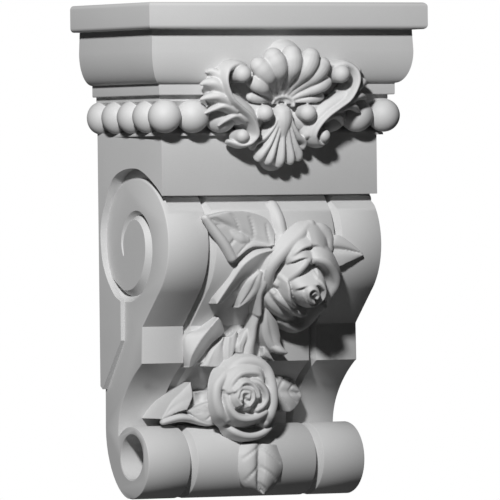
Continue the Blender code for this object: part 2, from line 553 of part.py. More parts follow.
def moulding_profile():
    """Half width, reach and height down the slab, quarter round, fillet, bead channel and shelf."""
    turn = arc(-SLAB_ROUND, SLAB_TOP - SLAB_ROUND, SLAB_ROUND, 90, 0, 3)
    turn += arc(-SLAB_ROUND, SLAB_UNDER + SLAB_ROUND, SLAB_ROUND, 0, -90, 3)
    profile = [(SLAB_HALF + x, SLAB_OUT + x, z) for x, z in turn]
    profile.append((OVOLO_HALF - OVOLO_LIP, OVOLO_OUT - OVOLO_LIP, SLAB_UNDER))
    for across, z in arc(0, 0, 1, 0, -90, 6):
        profile.append((FILLET_HALF + (OVOLO_HALF - FILLET_HALF) * across,
                        FILLET_OUT + (OVOLO_OUT - FILLET_OUT) * across,
                        OVOLO_TURN + (OVOLO_TURN - FILLET_TOP) * z))
    profile += [(FILLET_HALF, FILLET_OUT, FILLET_UNDER),
                (NECKING_HALF, NECKING_OUT, FILLET_UNDER), (NECKING_HALF, NECKING_OUT, NECKING_UNDER),
                (CHANNEL_HALF, CHANNEL_OUT, BEAD_Z), (CHANNEL_HALF, CHANNEL_OUT, SHELF_TOP),
                (SHELF_HALF, SHELF_OUT, SHELF_EDGE), (SHELF_HALF, SHELF_OUT, SHELF_UNDER)]
    return profile


def mouldings(collection):
    rings = []
    for half, out, z in moulding_profile():
        rings.append([(-half, 0, z), (-half, out, z), (half, out, z), (half, 0, z)])
    return guide(loft("mouldings", rings, collection))


def beads(collection):
    pitch = 2 * BEAD_HALF / (BEADS_ACROSS - 1)
    for k in range(BEADS_ACROSS):
        ball("bead front", (-BEAD_HALF + pitch * k, BEAD_OUT, BEAD_Z), BEAD_RADIUS, collection)
    for side in (-1, 1):
        for k in range(1, BEADS_DEEP):
            ball("bead side", (side * BEAD_HALF, BEAD_OUT - pitch * k, BEAD_Z), BEAD_RADIUS, collection)


def block_half(out):
    return BLOCK_HALF_WALL + (BLOCK_HALF_FRONT - BLOCK_HALF_WALL) * out / FASCIA_OUT


def block(collection):
    outline = [(0, BLOCK_TOP), (FASCIA_OUT, BLOCK_TOP), (FASCIA_OUT, FASCIA_UNDER),
               (PLATE_TOP_OUT, FASCIA_UNDER), (PLATE_EDGE_OUT, PLATE_EDGE_TOP),
               (PLATE_EDGE_OUT, PLATE_EDGE_UNDER), (PLATE_TIP_OUT, PLATE_TIP_UNDER),
               (0, PLATE_TIP_UNDER + PLATE_TIP_RISE)]
    rings = [[(side * block_half(out), out, z) for out, z in outline] for side in (-1, 1)]
    return loft("corbel", rings, collection)


def bites(collection):
    """The spiral-edged recess that lets the side of the volute into the block, on both sides."""
    outline = smooth(BITE_CURVE, 3) + [(BITE_CURVE[0][0], BITE_CURVE[-1][1])]
    for side in (-1, 1):
        rings = [[(side * half, out, z) for out, z in outline]
                 for half in (BITE_FLOOR_HALF, BLOCK_HALF_WALL + CUT_CLEAR)]
        guide(loft("bite", rings, collection))


def scroll_outline():
    """The side outline of the bracket, as its grooved front and its flat back."""
    volute = arc(VOLUTE_OUT, VOLUTE_Z, VOLUTE_RADIUS, VOLUTE_FROM, VOLUTE_TO, 22)
    cove = bezier((LEDGE_OUT, LEDGE_UNDER), *COVE_BEND, (COVE_END_OUT, COVE_END_Z), 7)
    roll = arc(ROLL_OUT, ROLL_Z, ROLL_RADIUS, ROLL_FROM, -90, 15)
    foot = bezier((ROLL_OUT, ROLL_Z - ROLL_RADIUS), *FOOT_BEND, (0, BACK_FOOT), 6)
    front = volute + [(LEDGE_OUT, LEDGE_TOP)] + cove + roll
    return front, foot[1:] + [(0, BACK_TOP)]


def inset(points, depth):
    """The open line of points moved inwards by depth."""
    moved = []
    for k, (out, z) in enumerate(points):
        before = points[max(k - 1, 0)]
        after = points[min(k + 1, len(points) - 1)]
        along = (after[0] - before[0], after[1] - before[1])
        length = math.hypot(*along)
        moved.append((out + along[1] / length * depth, z - along[0] / length * depth))
    return moved


def scroll_half(z):
    """The sides of the bracket spread slightly towards its foot."""
    return SCROLL_HALF - SCROLL_SPREAD * z


def scroll(collection):
    front, back = scroll_outline()
    deep = inset(front, GROOVE_DEPTH)
    rings = []
    for side in (-1, 1):
        stations = [(None, front), (GROOVE_X + GROOVE_HALF, front), (GROOVE_X, deep),
                    (GROOVE_X - GROOVE_HALF, front)]
        for x, line in stations[::-side]:
            rings.append([(side * (x or scroll_half(z)), out, z) for out, z in line + back])
    return guide(loft("scroll", rings, collection))


def spiral_cutters(collection):
    """A gouge of triangular section that winds in over the face of the volute, on both sides."""
    line = smooth(SPIRAL, 2)
    for side in (-1, 1):
        rings = []
        for k, (out, z, width) in enumerate(line):
            before, after = line[max(k - 1, 0)], line[min(k + 1, len(line) - 1)]
            along = Vector((after[0] - before[0], after[1] - before[1])).normalized()
            across = Vector((-along.y, along.x)) * width * SPIRAL_MOUTH
            clear = side * (SCROLL_HALF + width * SPIRAL_CLEAR)
            rings.append([(clear, out + across.x, z + across.y),
                          (side * (SCROLL_HALF - width * SPIRAL_DEPTH), out, z),
                          (clear, out - across.x, z - across.y)])
        guide(loft("spiral", rings, collection))


def eye_cutters(collection):
    for side in (-1, 1):
        rings = []
        for half in (scroll_half(EYE_Z) - EYE_DEPTH, scroll_half(EYE_Z) + CUT_CLEAR):
            circle = arc(EYE_OUT, EYE_Z, EYE_RADIUS, 0, 345, 23)
            rings.append([(side * half, out, z) for out, z in circle])
        guide(loft("eye", rings, collection))


def neck_cutter(collection):
    """What is taken off the scroll's front under the fascia, all the way out to the right."""
    outline = [(NECK_OUT, FASCIA_UNDER + CUT_CLEAR), (NECK_OUT, NECK_UNDER)] + NECK_CURVE
    outline += [(NECK_CURVE[-1][0] + CUT_CLEAR, NECK_CURVE[-1][1]),
                (NECK_CURVE[-1][0] + CUT_CLEAR, FASCIA_UNDER + CUT_CLEAR)]
    rings = [[(x, out, z) for out, z in outline] for x in (-NECK_HALF, SLAB_HALF)]
    return guide(loft("neck", rings, collection))


def wall_cutter(collection):
    reach = 2 * SLAB_HALF
    rings = [[(x, out, z) for x, out in ((-reach, -reach), (reach, -reach), (reach, 0), (-reach, 0))]
             for z in (-reach, reach)]
    return guide(loft("wall plane", rings, collection))


# Carving

def mirrored(path):
    return [(-p[0],) + tuple(p[1:]) for p in path]


def both_sides(name, path, collection):
    """A tube along the path, and its mirror image where the path leaves the centre line."""
    tube(name, path, collection)
    if any(point[0] for point in path):
        tube(name, mirrored(path), collection)


def shell(collection):
    """A scallop fan of nine round-headed ribs above an arched hinge."""
    hinge_out, hinge_z = SHELL_HINGE
    for x, out, z, radius in SHELL_HEADS:
        path = []
        for along, widen, rise in SHELL_RIB:
            half = radius * widen
            path.append((x * along, hinge_out + (out - hinge_out) * rise - half,
                         hinge_z + (z - hinge_z) * along, half, half))
        both_sides("shell rib", path, collection)
    turns = [math.radians(angle) for angle in HINGE_TURNS]
    arch = [(HINGE_HALF * math.cos(turn), hinge_out, hinge_z + HINGE_RISE * math.sin(turn)) + HINGE_BAR
            for turn in turns]
    tube("hinge arch", arch, collection)


def cartouche(collection):
    """The shell, the tongue that spreads below it and the leafy scrolls each side."""
    shell(collection)
    for name, path in CARTOUCHE_PATHS:
        both_sides(name, path, collection)


def blade(name, sag, swell, crease, lines, collection, steps=3, across=2):
    """A leaf solid between its left edge, midrib and right edge, each a line of (x, out, z) from base to tip.

    Each half swells between edge and midrib, the midrib is a crease, and sag is the leaf's depth towards
    the wall.
    """
    left, rib, right = (smooth(line, steps) for line in lines)
    rows = len(rib)
    top = []
    for r in range(rows):
        along = math.sin(math.pi * r / (rows - 1)) ** 0.5
        row = []
        for c in range(-across, across + 1):
            share = abs(c) / across
            edge = Vector(left[r] if c < 0 else right[r])
            spot = Vector(rib[r]).lerp(edge, share)
            lift = swell * math.sin(math.pi * share) - (crease * along if c == 0 else 0)
            row.append((spot.x, spot.y + lift, spot.z))
        top.append(row)
    under = [[(x, out - sag, z) for x, out, z in row] for row in top]
    return sheet(name, top, under, collection)


def rose_frame(centre, facing):
    """The centre of a rose, the way it faces, and the rightward and upward directions in its own plane."""
    axis = Vector(facing).normalized()
    right = Vector((1, 0, 0)) - axis * axis.x
    right.normalize()
    up = axis.cross(right)
    if up.z < 0:
        up = -up
    return Vector(centre), axis, right, up


def crest_height(spread, rise, crest, inner, outer, rim):
    """The height over a grid of a petal whose rounded rim follows the crest, a line of (right, up, height).

    Right of the line's direction the petal falls into its hollow, given as a depth and a reach. Left of it
    the petal falls down its back, given as a slope and a reach, and then steeply, as it does past its ends.
    """
    best = np.full(spread.shape, 1e9)
    level = np.zeros(spread.shape)
    inside = np.zeros(spread.shape, bool)
    beyond = np.zeros(spread.shape, bool)
    line = smooth(crest, 6)
    last = len(line) - 2
    for k, ((ax, ay, ah), (bx, by, bh)) in enumerate(zip(line[:-1], line[1:])):
        dx, dy = bx - ax, by - ay
        free = ((spread - ax) * dx + (rise - ay) * dy) / (dx * dx + dy * dy)
        t = np.clip(free, 0, 1)
        px, py = spread - (ax + dx * t), rise - (ay + dy * t)
        distance = np.hypot(px, py)
        nearer = distance < best
        past = ((k == 0) & (free < 0)) | ((k == last) & (free > 1))
        best = np.where(nearer, distance, best)
        level = np.where(nearer, ah + (bh - ah) * t, level)
        inside = np.where(nearer, (dx * py - dy * px < 0) & ~past, inside)
        beyond = np.where(nearer, past, beyond)
    over = np.clip(best - rim, 0, None)
    top = level - rim + np.sqrt(np.clip(rim * rim - np.minimum(best, rim) ** 2, 0, None))
    depth, reach = inner
    bowl = top - depth * (1 - np.exp(-over * HOLLOW_SLOPE / depth)) - np.clip(best - reach, 0, None) * STEEP
    slope, back = outer
    behind = top - np.minimum(over, back) * slope - np.clip(over - back, 0, None) * STEEP
    return np.where(beyond, top - over * STEEP, np.where(inside, bowl, behind))


def relief(name, where, size, back, crests, collection, step=ROSE_STEP):
    """A closed solid that follows the highest of its crests, with a back cut away towards the left."""
    middle, axis, right, up = where
    floor, undercut = back
    count = (int(size[0] / step), int(size[1] / step))
    spread, rise = np.meshgrid(np.linspace(-size[0] / 2, size[0] / 2, count[0]),
                               np.linspace(-size[1] / 2, size[1] / 2, count[1]))
    under = floor + undercut * np.minimum(spread, 0) ** 2
    height = under.copy()
    for crest in crests:
        height = np.maximum(height, crest_height(spread, rise, *crest))
    kept = height > under + SKIN
    work = bmesh.new()
    tops, feet = {}, {}

    def corner(r, c):
        if (r, c) not in tops:
            spot = middle + right * spread[r, c] + up * rise[r, c]
            tops[r, c] = work.verts.new(to_world(spot + axis * height[r, c]))
            feet[r, c] = work.verts.new(to_world(spot + axis * (under[r, c] - step)))
        return tops[r, c], feet[r, c]

    for r in range(count[1] - 1):
        for c in range(count[0] - 1):
            if not kept[r:r + 2, c:c + 2].any():
                continue
            ring = [corner(r, c), corner(r, c + 1), corner(r + 1, c + 1), corner(r + 1, c)]
            work.faces.new([pair[0] for pair in ring])
            work.faces.new([pair[1] for pair in ring[::-1]])
    work.edges.index_update()
    open_edges = [edge for edge in work.edges if len(edge.link_faces) == 1]
    foot_of = {tops[key]: feet[key] for key in tops}
    for edge in open_edges:
        a, b = edge.verts
        if a in foot_of and b in foot_of:
            work.faces.new([a, b, foot_of[b], foot_of[a]])
    bmesh.ops.recalc_face_normals(work, faces=work.faces)
    made = bpy.data.objects.new(name, mesh_from(work, name))
    collection.objects.link(made)
    return guide(made)


def roses(collection):
    relief("lower rose", rose_frame(*LOWER_ROSE), LOWER_SIZE, LOWER_BACK, LOWER_PETALS, collection)
    relief("upper rose", rose_frame(*UPPER_ROSE), UPPER_SIZE, UPPER_BACK, UPPER_PETALS, collection)
    for name, path in ROOTS:
        tube(name, path, collection)


def leaves(collection):
    for name, sag, swell, crease, lines in LEAVES:
        blade(name, sag, swell, crease, lines, collection)
    for name, path in STEMS:
        tube(name, path, collection)


def finish(made):
    material = bpy.data.materials.new("primed casting")
    material.use_nodes = True
    shader = material.node_tree.nodes["Principled BSDF"]
    shader.inputs["Base Color"].default_value = PRIMER
    shader.inputs["Roughness"].default_value = PRIMER_ROUGHNESS
    shader.inputs["Metallic"].default_value = 0.0
    made.data.materials.append(material)


def main():
    clear_scene()
    model = new_collection("corbel")
    side_cuts = new_collection("side cuts")
    scroll_cuts = new_collection("scroll cuts")
    additions = new_collection("mouldings and beads")
    carving = new_collection("carving")
    rest = new_collection("guides")

    corbel = block(model)
    bites(side_cuts)
    spiral_cutters(scroll_cuts)
    eye_cutters(scroll_cuts)
    neck_cutter(scroll_cuts)
    bracket = scroll(rest)
    boolean(bracket, "DIFFERENCE", group=scroll_cuts)
    mouldings(additions)
    beads(additions)
    cartouche(carving)
    roses(carving)
    leaves(carving)

    boolean(corbel, "DIFFERENCE", group=side_cuts)
    boolean(corbel, "UNION", other=bracket)
    boolean(corbel, "UNION", group=additions)
    boolean(corbel, "UNION", other=fused("fused carving", list(carving.objects), rest))
    boolean(corbel, "DIFFERENCE", other=wall_cutter(rest))
    finish(corbel)


main()
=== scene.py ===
"""The finished surface of a moulded wall corbel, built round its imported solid.

Sizes are millimetres, but for the light's and the floor's, and become metres in to_world. A point is
(x, out, z): x to the viewer's right, out from the wall towards the viewer, z up. The origin is on the flat
back, at about half the height.
"""

import json
import math

import bmesh
import bpy
import numpy as np
from mathutils import Matrix, Vector

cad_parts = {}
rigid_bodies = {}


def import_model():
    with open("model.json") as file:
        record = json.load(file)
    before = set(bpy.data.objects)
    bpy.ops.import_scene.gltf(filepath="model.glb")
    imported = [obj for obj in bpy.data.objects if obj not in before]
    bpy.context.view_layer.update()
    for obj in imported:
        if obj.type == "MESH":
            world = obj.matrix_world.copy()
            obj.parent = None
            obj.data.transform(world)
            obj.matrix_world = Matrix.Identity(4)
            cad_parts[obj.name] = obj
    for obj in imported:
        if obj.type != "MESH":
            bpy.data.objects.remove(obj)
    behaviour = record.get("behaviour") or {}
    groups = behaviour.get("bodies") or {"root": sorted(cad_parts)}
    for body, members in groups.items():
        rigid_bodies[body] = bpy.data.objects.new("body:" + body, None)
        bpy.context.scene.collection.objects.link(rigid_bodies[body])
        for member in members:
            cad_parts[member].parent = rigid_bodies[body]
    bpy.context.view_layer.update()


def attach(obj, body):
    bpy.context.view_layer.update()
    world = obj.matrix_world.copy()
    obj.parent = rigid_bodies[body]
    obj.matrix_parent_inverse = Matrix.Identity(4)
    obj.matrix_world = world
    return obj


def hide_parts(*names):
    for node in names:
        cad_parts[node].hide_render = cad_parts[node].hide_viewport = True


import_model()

MM = 0.001

# Reach of a cutter past what it cuts, angle of a sharp edge in degrees, and steps of a rounded edge
CUT_CLEAR = 8.0
SHARP_ANGLE = 32.0
ROUND_STEPS = 8

# Slab and mouldings: half width, reach from the wall, and height
SLAB_HALF = 100.0
SLAB_OUT = 101.0
SLAB_TOP = 151.8
SLAB_UNDER = 135.1
SLAB_ROUND = 2.6
OVOLO_HALF = 94.0
OVOLO_OUT = 93.0
OVOLO_LIP = 0.6
OVOLO_TURN = 121.8
OVOLO_STEPS = 24
FILLET_HALF = 84.8
FILLET_OUT = 85.1
FILLET_TOP = 101.8
FILLET_UNDER = 94.6
NECKING_HALF = 82.0
NECKING_OUT = 80.8
NECKING_UNDER = 91.0
CHANNEL_HALF = 76.0
CHANNEL_OUT = 73.0
SHELF_HALF = 80.5
SHELF_OUT = 77.3
SHELF_TOP = 74.5
SHELF_EDGE = 70.8
SHELF_UNDER = 69.6
EDGE_ROUND = 0.7

# Beads
BEAD_RADIUS = 10.4
BEAD_HALF = 78.8
BEAD_OUT = 80.8
BEAD_Z = 81.6
BEADS_ACROSS = 9
BEADS_DEEP = 5

# Block: fascia and back plate, whose sides widen towards the wall
BLOCK_TOP = 72.0
FASCIA_OUT = 74.3
FASCIA_UNDER = 32.3
FASCIA_ROUND = 0.6
FASCIA_ROUND_MID = 0.2
BLOCK_HALF_FRONT = 77.5
BLOCK_HALF_WALL = 81.5
PLATE_TOP_OUT = 45.0
PLATE_EDGE_OUT = 24.6
PLATE_EDGE_TOP = -30.0
PLATE_EDGE_UNDER = -57.4
PLATE_TIP_OUT = 2.5
PLATE_TIP_UNDER = -88.0
PLATE_TIP_RISE = 2.0
BITE_FLOOR_HALF = 72.5
BITE_CURVE = [(86, 16), (74.3, 32.3), (62.4, 41.6), (50.8, 47.9), (41.5, 49.8), (28, 48.5), (16.7, 42.9),
              (8.2, 29), (2.8, 15), (2.6, 0.6), (6, -13), (15, -26.5), (25.4, -33.2), (60, -46)]
BITE_CORNER = (86, -46)
BITE_STEPS = 8

# Scroll
SCROLL_HALF = 76.9
SCROLL_SPREAD = 0.0095
VOLUTE_OUT = 38.8
VOLUTE_Z = 1.9
VOLUTE_RADIUS = 41.6
VOLUTE_FROM = 155.0
VOLUTE_TO = -48.0
VOLUTE_STEPS = 70
LEDGE_OUT = 46.9
LEDGE_TOP = -48.8
LEDGE_UNDER = -71.7
COVE_BEND = [(33.0, -80.0), (16.1, -95.0)]
COVE_END = (16.1, -113.5)
COVE_STEPS = 24
ROLL_OUT = 31.8
ROLL_Z = -133.7
ROLL_RADIUS = 22.7
ROLL_FROM = 134.0
ROLL_STEPS = 48
FOOT_BEND = [(16.0, -156.4), (0.0, -134.0)]
FOOT_STEPS = 12
BACK_FOOT = -112.0
BACK_TOP = 18.9
SIDE_ROUND = 0.9
SIDE_ROUND_MID = 0.3
GROOVE_X = 45.4
GROOVE_HALF = 3.2
GROOVE_LIP = 0.5
GROOVE_LIP_DEPTH = 0.25
GROOVE_FLOOR_HALF = 0.25
GROOVE_DEPTH = 4.5

# Neck that is cut between the scroll's front and the fascia over it
NECK_OUT = 68.3
NECK_UNDER = 28.0
NECK_CURVE = [(70.5, 26.6), (73.6, 23.9), (76.4, 20.4)]
NECK_HALF = 72.5

# Hollows in the side faces. The spiral is a line of (out, z, width), and its depth, its cutter's reach to each
# side and how far the cutter clears the face are shares of the width
EYE_OUT = 33.1
EYE_Z = -129.9
EYE_RADIUS = 14.0
EYE_DEPTH = 24.0
EYE_ROUND = 0.8
EYE_ROUND_MID = 0.2
EYE_POINTS = 96
SPIRAL = [(9.0, -19.5, 2.5), (14.5, -24.5, 5.0), (24.5, -29.5, 6.5), (36.5, -28.5, 7.5), (47.5, -21.5, 8.5),
          (54.3, -9.5, 9.0), (55.5, 2.5, 9.0), (51.5, 13.5, 8.0), (42.0, 20.3, 6.5), (31.5, 18.8, 5.0),
          (24.0, 11.0, 3.6), (21.8, 3.0, 2.6), (23.6, -4.5, 1.2)]
SPIRAL_STEPS = 8
SPIRAL_DEPTH = 0.62
SPIRAL_MOUTH = 0.75
SPIRAL_CLEAR = 0.31

# Carving: the skin that is drawn over the fused pieces, and the share of its faces that is kept
CARVING_VOXEL = 0.5
SOFTEN_FACTOR = 0.5
SOFTEN_PASSES = 3
CARVING_RATIO = 0.5
LEAVES_RATIO = 0.4

# Tubes: angles of the sections in a round end, and how near to straight out a path runs before its sections
# are set by the vertical instead
END_ANGLES = (20, 40, 60, 78)
STEEP_PATH = 0.15

# Petals: step of the grid, points between two of a rim's, fall of a hollow's side, fall past a petal's
# reach, and thinnest relief
ROSE_STEP = 0.4
CREST_STEPS = 6
HOLLOW_SLOPE = 2.4
STEEP = 4.5
SKIN = 0.01

# Midrib crease and side veins of a leaf. The depth is in millimetres, the fades are powers, and the rest are
# shares of the half width or of the space between two veins
CREASE_WIDTH = 0.16
CREASE_FADE = 0.5
VEIN_DEPTH = 1.1
VEIN_WIDTH = 0.09
VEIN_SLANT = 0.9
VEIN_START = 0.3
VEIN_REACH = 1.15
VEIN_FADE = 0.6

# Cartouche. A path is a line of (x, out, z, half width, half height), and one that leaves the centre line
# has a mirror image. A rib goes from the hinge to its head, (x, out, z, radius), by shares of the way, the
# radius and the rise.
SHELL_HINGE = (90.0, 88.5)
SHELL_HEADS = [(0, 109.0, 123.5, 6.9), (15.2, 109.3, 121.8, 6.9), (25.8, 107.0, 115.8, 6.3),
               (30.0, 103.5, 104.0, 4.6), (28.5, 97.0, 94.0, 3.3)]
SHELL_RIB = [(0.10, 0.22, 0.02), (0.30, 0.32, 0.26), (0.46, 0.50, 0.60), (0.63, 0.86, 0.96),
             (0.77, 1.0, 1.04), (0.87, 0.9, 0.98)]
HINGE_HALF = 7.8
HINGE_RISE = 4.8
HINGE_BAR = (1.2, 2.5)
HINGE_TURNS = range(-10, 200, 30)
CARTOUCHE_PATHS = [
    ("cartouche ground", [(0, 73, 60, 10, 9), (0, 74, 75, 26, 10), (0, 75, 83, 37, 11),
                          (0, 75, 90, 40, 11), (0, 78, 104, 41, 12)]),
    ("shell ground", [(0, 80, 92, 14, 6), (0, 86, 100, 22, 8), (0, 90, 108, 23, 9), (0, 91, 114, 15, 9)]),
    ("tongue ground", [(0, 79, 82, 7, 8), (0, 79, 72, 9, 8), (0, 78, 62, 14, 7), (0, 77, 57, 10, 6)]),
    ("tongue", [(0.3, 88.5, 82.6, 6.2, 7.5), (0.2, 88, 78.5, 6.4, 8), (0, 85, 72, 5.4, 8)]),
    ("tongue finger", [(0, 86, 80, 2.6, 7.5), (0, 85, 70, 2.8, 7.5), (0, 85, 60, 3.2, 7),
                       (0, 85, 55, 3.4, 6), (0, 84, 52.5, 3.1, 4.5)]),
    ("tongue finger", [(-1.7, 86.5, 83, 2.2, 7), (-2.4, 86, 75.5, 2.4, 7.5), (-5.0, 85, 64.7, 2.6, 7),
                       (-7.2, 85, 56.5, 3.0, 6), (-7.8, 84, 54, 2.8, 4.5)]),
    ("tongue finger", [(-2.8, 86.5, 83, 2.2, 7), (-4.5, 86, 75.5, 2.4, 7.5), (-9.0, 85, 64.6, 2.6, 7),
                       (-13.0, 84.5, 58.5, 3.2, 6), (-14.0, 83.5, 56, 2.9, 4.5)]),
    ("tongue finger", [(-3.9, 86.5, 83, 2.2, 7), (-6.4, 86, 76, 2.4, 7.5), (-12, 84.5, 68.5, 2.6, 7),
                       (-16.8, 83.5, 65.5, 2.6, 5.5), (-17.8, 82, 63, 2.3, 4.5)]),
    ("acanthus ridge", [(-33.0, 94, 112.8, 2.4, 8), (-39.0, 95, 113.4, 3.2, 9),
                        (-45.0, 96, 110.4, 3.2, 9), (-47.5, 97, 105.0, 2.5, 9),
                        (-46.2, 96.5, 98.5, 2.2, 9), (-42.0, 95.5, 91.5, 2.2, 9),
                        (-35.5, 94, 86.5, 2.3, 9), (-28.8, 92.5, 81.8, 2.4, 9),
                        (-23.8, 90.5, 76.5, 2.5, 9), (-21.4, 88, 71.0, 2.6, 9), (-23.0, 86, 66.0, 2.6, 8),
                        (-28.0, 84, 63.6, 2.4, 7), (-34.5, 82, 65.5, 1.8, 5)]),
    ("acanthus face", [(-44.0, 92, 97.0, 1.8, 6), (-39.8, 92.5, 92.6, 4.0, 6.5),
                       (-33.5, 91.5, 88.4, 5.0, 7), (-26.8, 90.5, 83.4, 4.8, 7),
                       (-21.8, 88, 77.2, 4.2, 7), (-19.0, 86, 71.0, 3.6, 6.5)]),
    ("acanthus leaf", [(-54.5, 91, 108.8, 0.9, 2), (-52.0, 93, 109.0, 2.4, 4),
                       (-48.0, 94, 106.5, 4.0, 6.5)]),
    ("acanthus leaf", [(-59.0, 92, 101.2, 0.9, 2), (-56.0, 93.5, 102.0, 2.6, 4),
                       (-51.5, 95, 101.2, 4.0, 6.5), (-45.5, 94, 96.5, 4.0, 7)]),
    ("acanthus leaf", [(-59.0, 91.5, 91.8, 0.8, 2), (-55.5, 93, 93.0, 2.2, 4),
                       (-49.5, 94.5, 93.5, 3.6, 6.5), (-42.5, 93.5, 90.0, 4.0, 7)]),
    ("acanthus leaf", [(-55.0, 89.5, 83.4, 0.7, 2), (-51.5, 91.5, 85.6, 1.7, 4),
                       (-45.5, 93, 87.6, 2.8, 6.5), (-37.0, 92, 85.0, 3.4, 7)]),
    ("acanthus leaf", [(-44.5, 87.5, 75.8, 0.7, 2), (-41.5, 89.5, 79.0, 1.7, 4),
                       (-36.0, 91, 81.8, 2.6, 6.5), (-29.0, 90, 79.5, 3.0, 7)]),
    ("acanthus web", [(-50, 86.5, 105, 4, 8), (-47, 87, 96, 6.5, 8), (-38, 86, 87, 6.5, 8),
                      (-31, 83, 80, 4, 8)]),
    ("acanthus eye", [(-35.5, 86, 107.2, 5.2, 5.2), (-35.5, 103, 107.2, 5.6, 5.6)]),
    ("acanthus eye", [(-29.2, 82, 69.0, 4.0, 4.0), (-29.2, 91, 69.0, 4.3, 4.3)]),
    ("trumpet", [(-31.0, 89, 88.0, 2.6, 2.6), (-24.0, 90, 86.0, 3.6, 3.6), (-17.5, 90.5, 84.0, 4.6, 4.6)]),
    ("trumpet bell", [(-16.0, 88, 83.4, 5.0, 5.0), (-15.4, 95.5, 83.0, 5.4, 5.4)]),
]

# Roses: centre and facing, size of the relief, depth and hollowing of its back, and the tube that roots it.
# Each petal has the line of its rim as (right, up, height), the depth and reach of the hollow inside it, the
# slope and reach of its back, and the radius of its rim
LOWER_ROSE = ((-13.5, 50, -89), (-0.05, 0.99, 0.05))
LOWER_SIZE = (72, 72)
LOWER_BACK = (-4.0, 0.023)
LOWER_ROOT = [(-9, 26, -92, 13, 15), (-9, 44, -90, 13, 13)]
LOWER_PETALS = [
    ([(-11, -18, 11), (-16, -14, 13.5), (-18.8, -6.5, 14.5), (-18, 1.5, 14.5), (-13, 7.5, 14),
      (-7, 11, 12.5)], (7, 12), (3.0, 1), 3.3),
    ([(-7, 11.5, 12), (-3, 15, 13.5), (3, 17, 14.5), (11, 16, 15), (16.5, 12, 15), (19, 6, 15.5),
      (20, -2, 16), (20, -10, 15.5), (18, -17.5, 14), (16.5, -20.5, 11)], (7, 12), (3.0, 1), 3.6),
    ([(24.5, -19, 3), (22.5, -23, 6), (17, -27, 8), (9.5, -29.3, 8.5), (2.5, -29, 8.5), (-4, -26.3, 7.5),
      (-9, -22, 4.5)], (7, 9), (3.5, 1), 2.2),
    ([(14, -15, 15), (7.5, -18, 16), (-0.5, -19, 16.5), (-6.5, -17, 16.5), (-10.8, -11.5, 16),
      (-12, -4.5, 15)], (6, 8), (3.0, 2), 2.2),
    ([(-11.5, -1.5, 17), (-9, 4.5, 18), (-4, 9, 19), (2.5, 10, 19), (9, 9, 18.5),
      (11.5, 4.5, 17)], (6, 8), (1.0, 3), 1.8),
    ([(3.5, 4.5, 19), (8, 3, 20), (12.5, -1.5, 19.5), (14, -6.5, 18.5), (11.5, -11, 17.5),
      (7.5, -13.5, 17)], (4, 7), (1.2, 2), 1.5),
    ([(-9.5, -1.5, 20), (-6.5, 0.5, 20.5), (-3.5, 3.5, 21), (2, 3, 20.5), (6, -1, 20.5),
      (7.5, -5.5, 20)], (3.5, 5), (1.2, 2), 1.1),
    ([(-5, -10, 20), (-7.5, -7, 20), (-7.5, -4.5, 20.5), (-5.5, -0.5, 20.5), (-1.5, 0, 20.5),
      (3, -2, 20.5), (3.5, -7, 20.5), (0.5, -11, 20)], (2.5, 4), (1.2, 2), 0.9),
    ([(-5, -7, 20.5), (-5, -4, 20.5), (-3.5, -2.5, 20.5), (0.5, -3, 20.5), (0, -6, 20.5)], (2, 2),
     (1.2, 2), 0.7),
]
UPPER_ROSE = ((20.5, 72.5, -21.5), (0.0, 0.89, -0.46))
UPPER_SIZE = (76, 96)
UPPER_BACK = (-8.0, 0.016)
UPPER_ROOT = [(21, 56, -12, 16, 14), (21, 60, -24, 15, 12)]
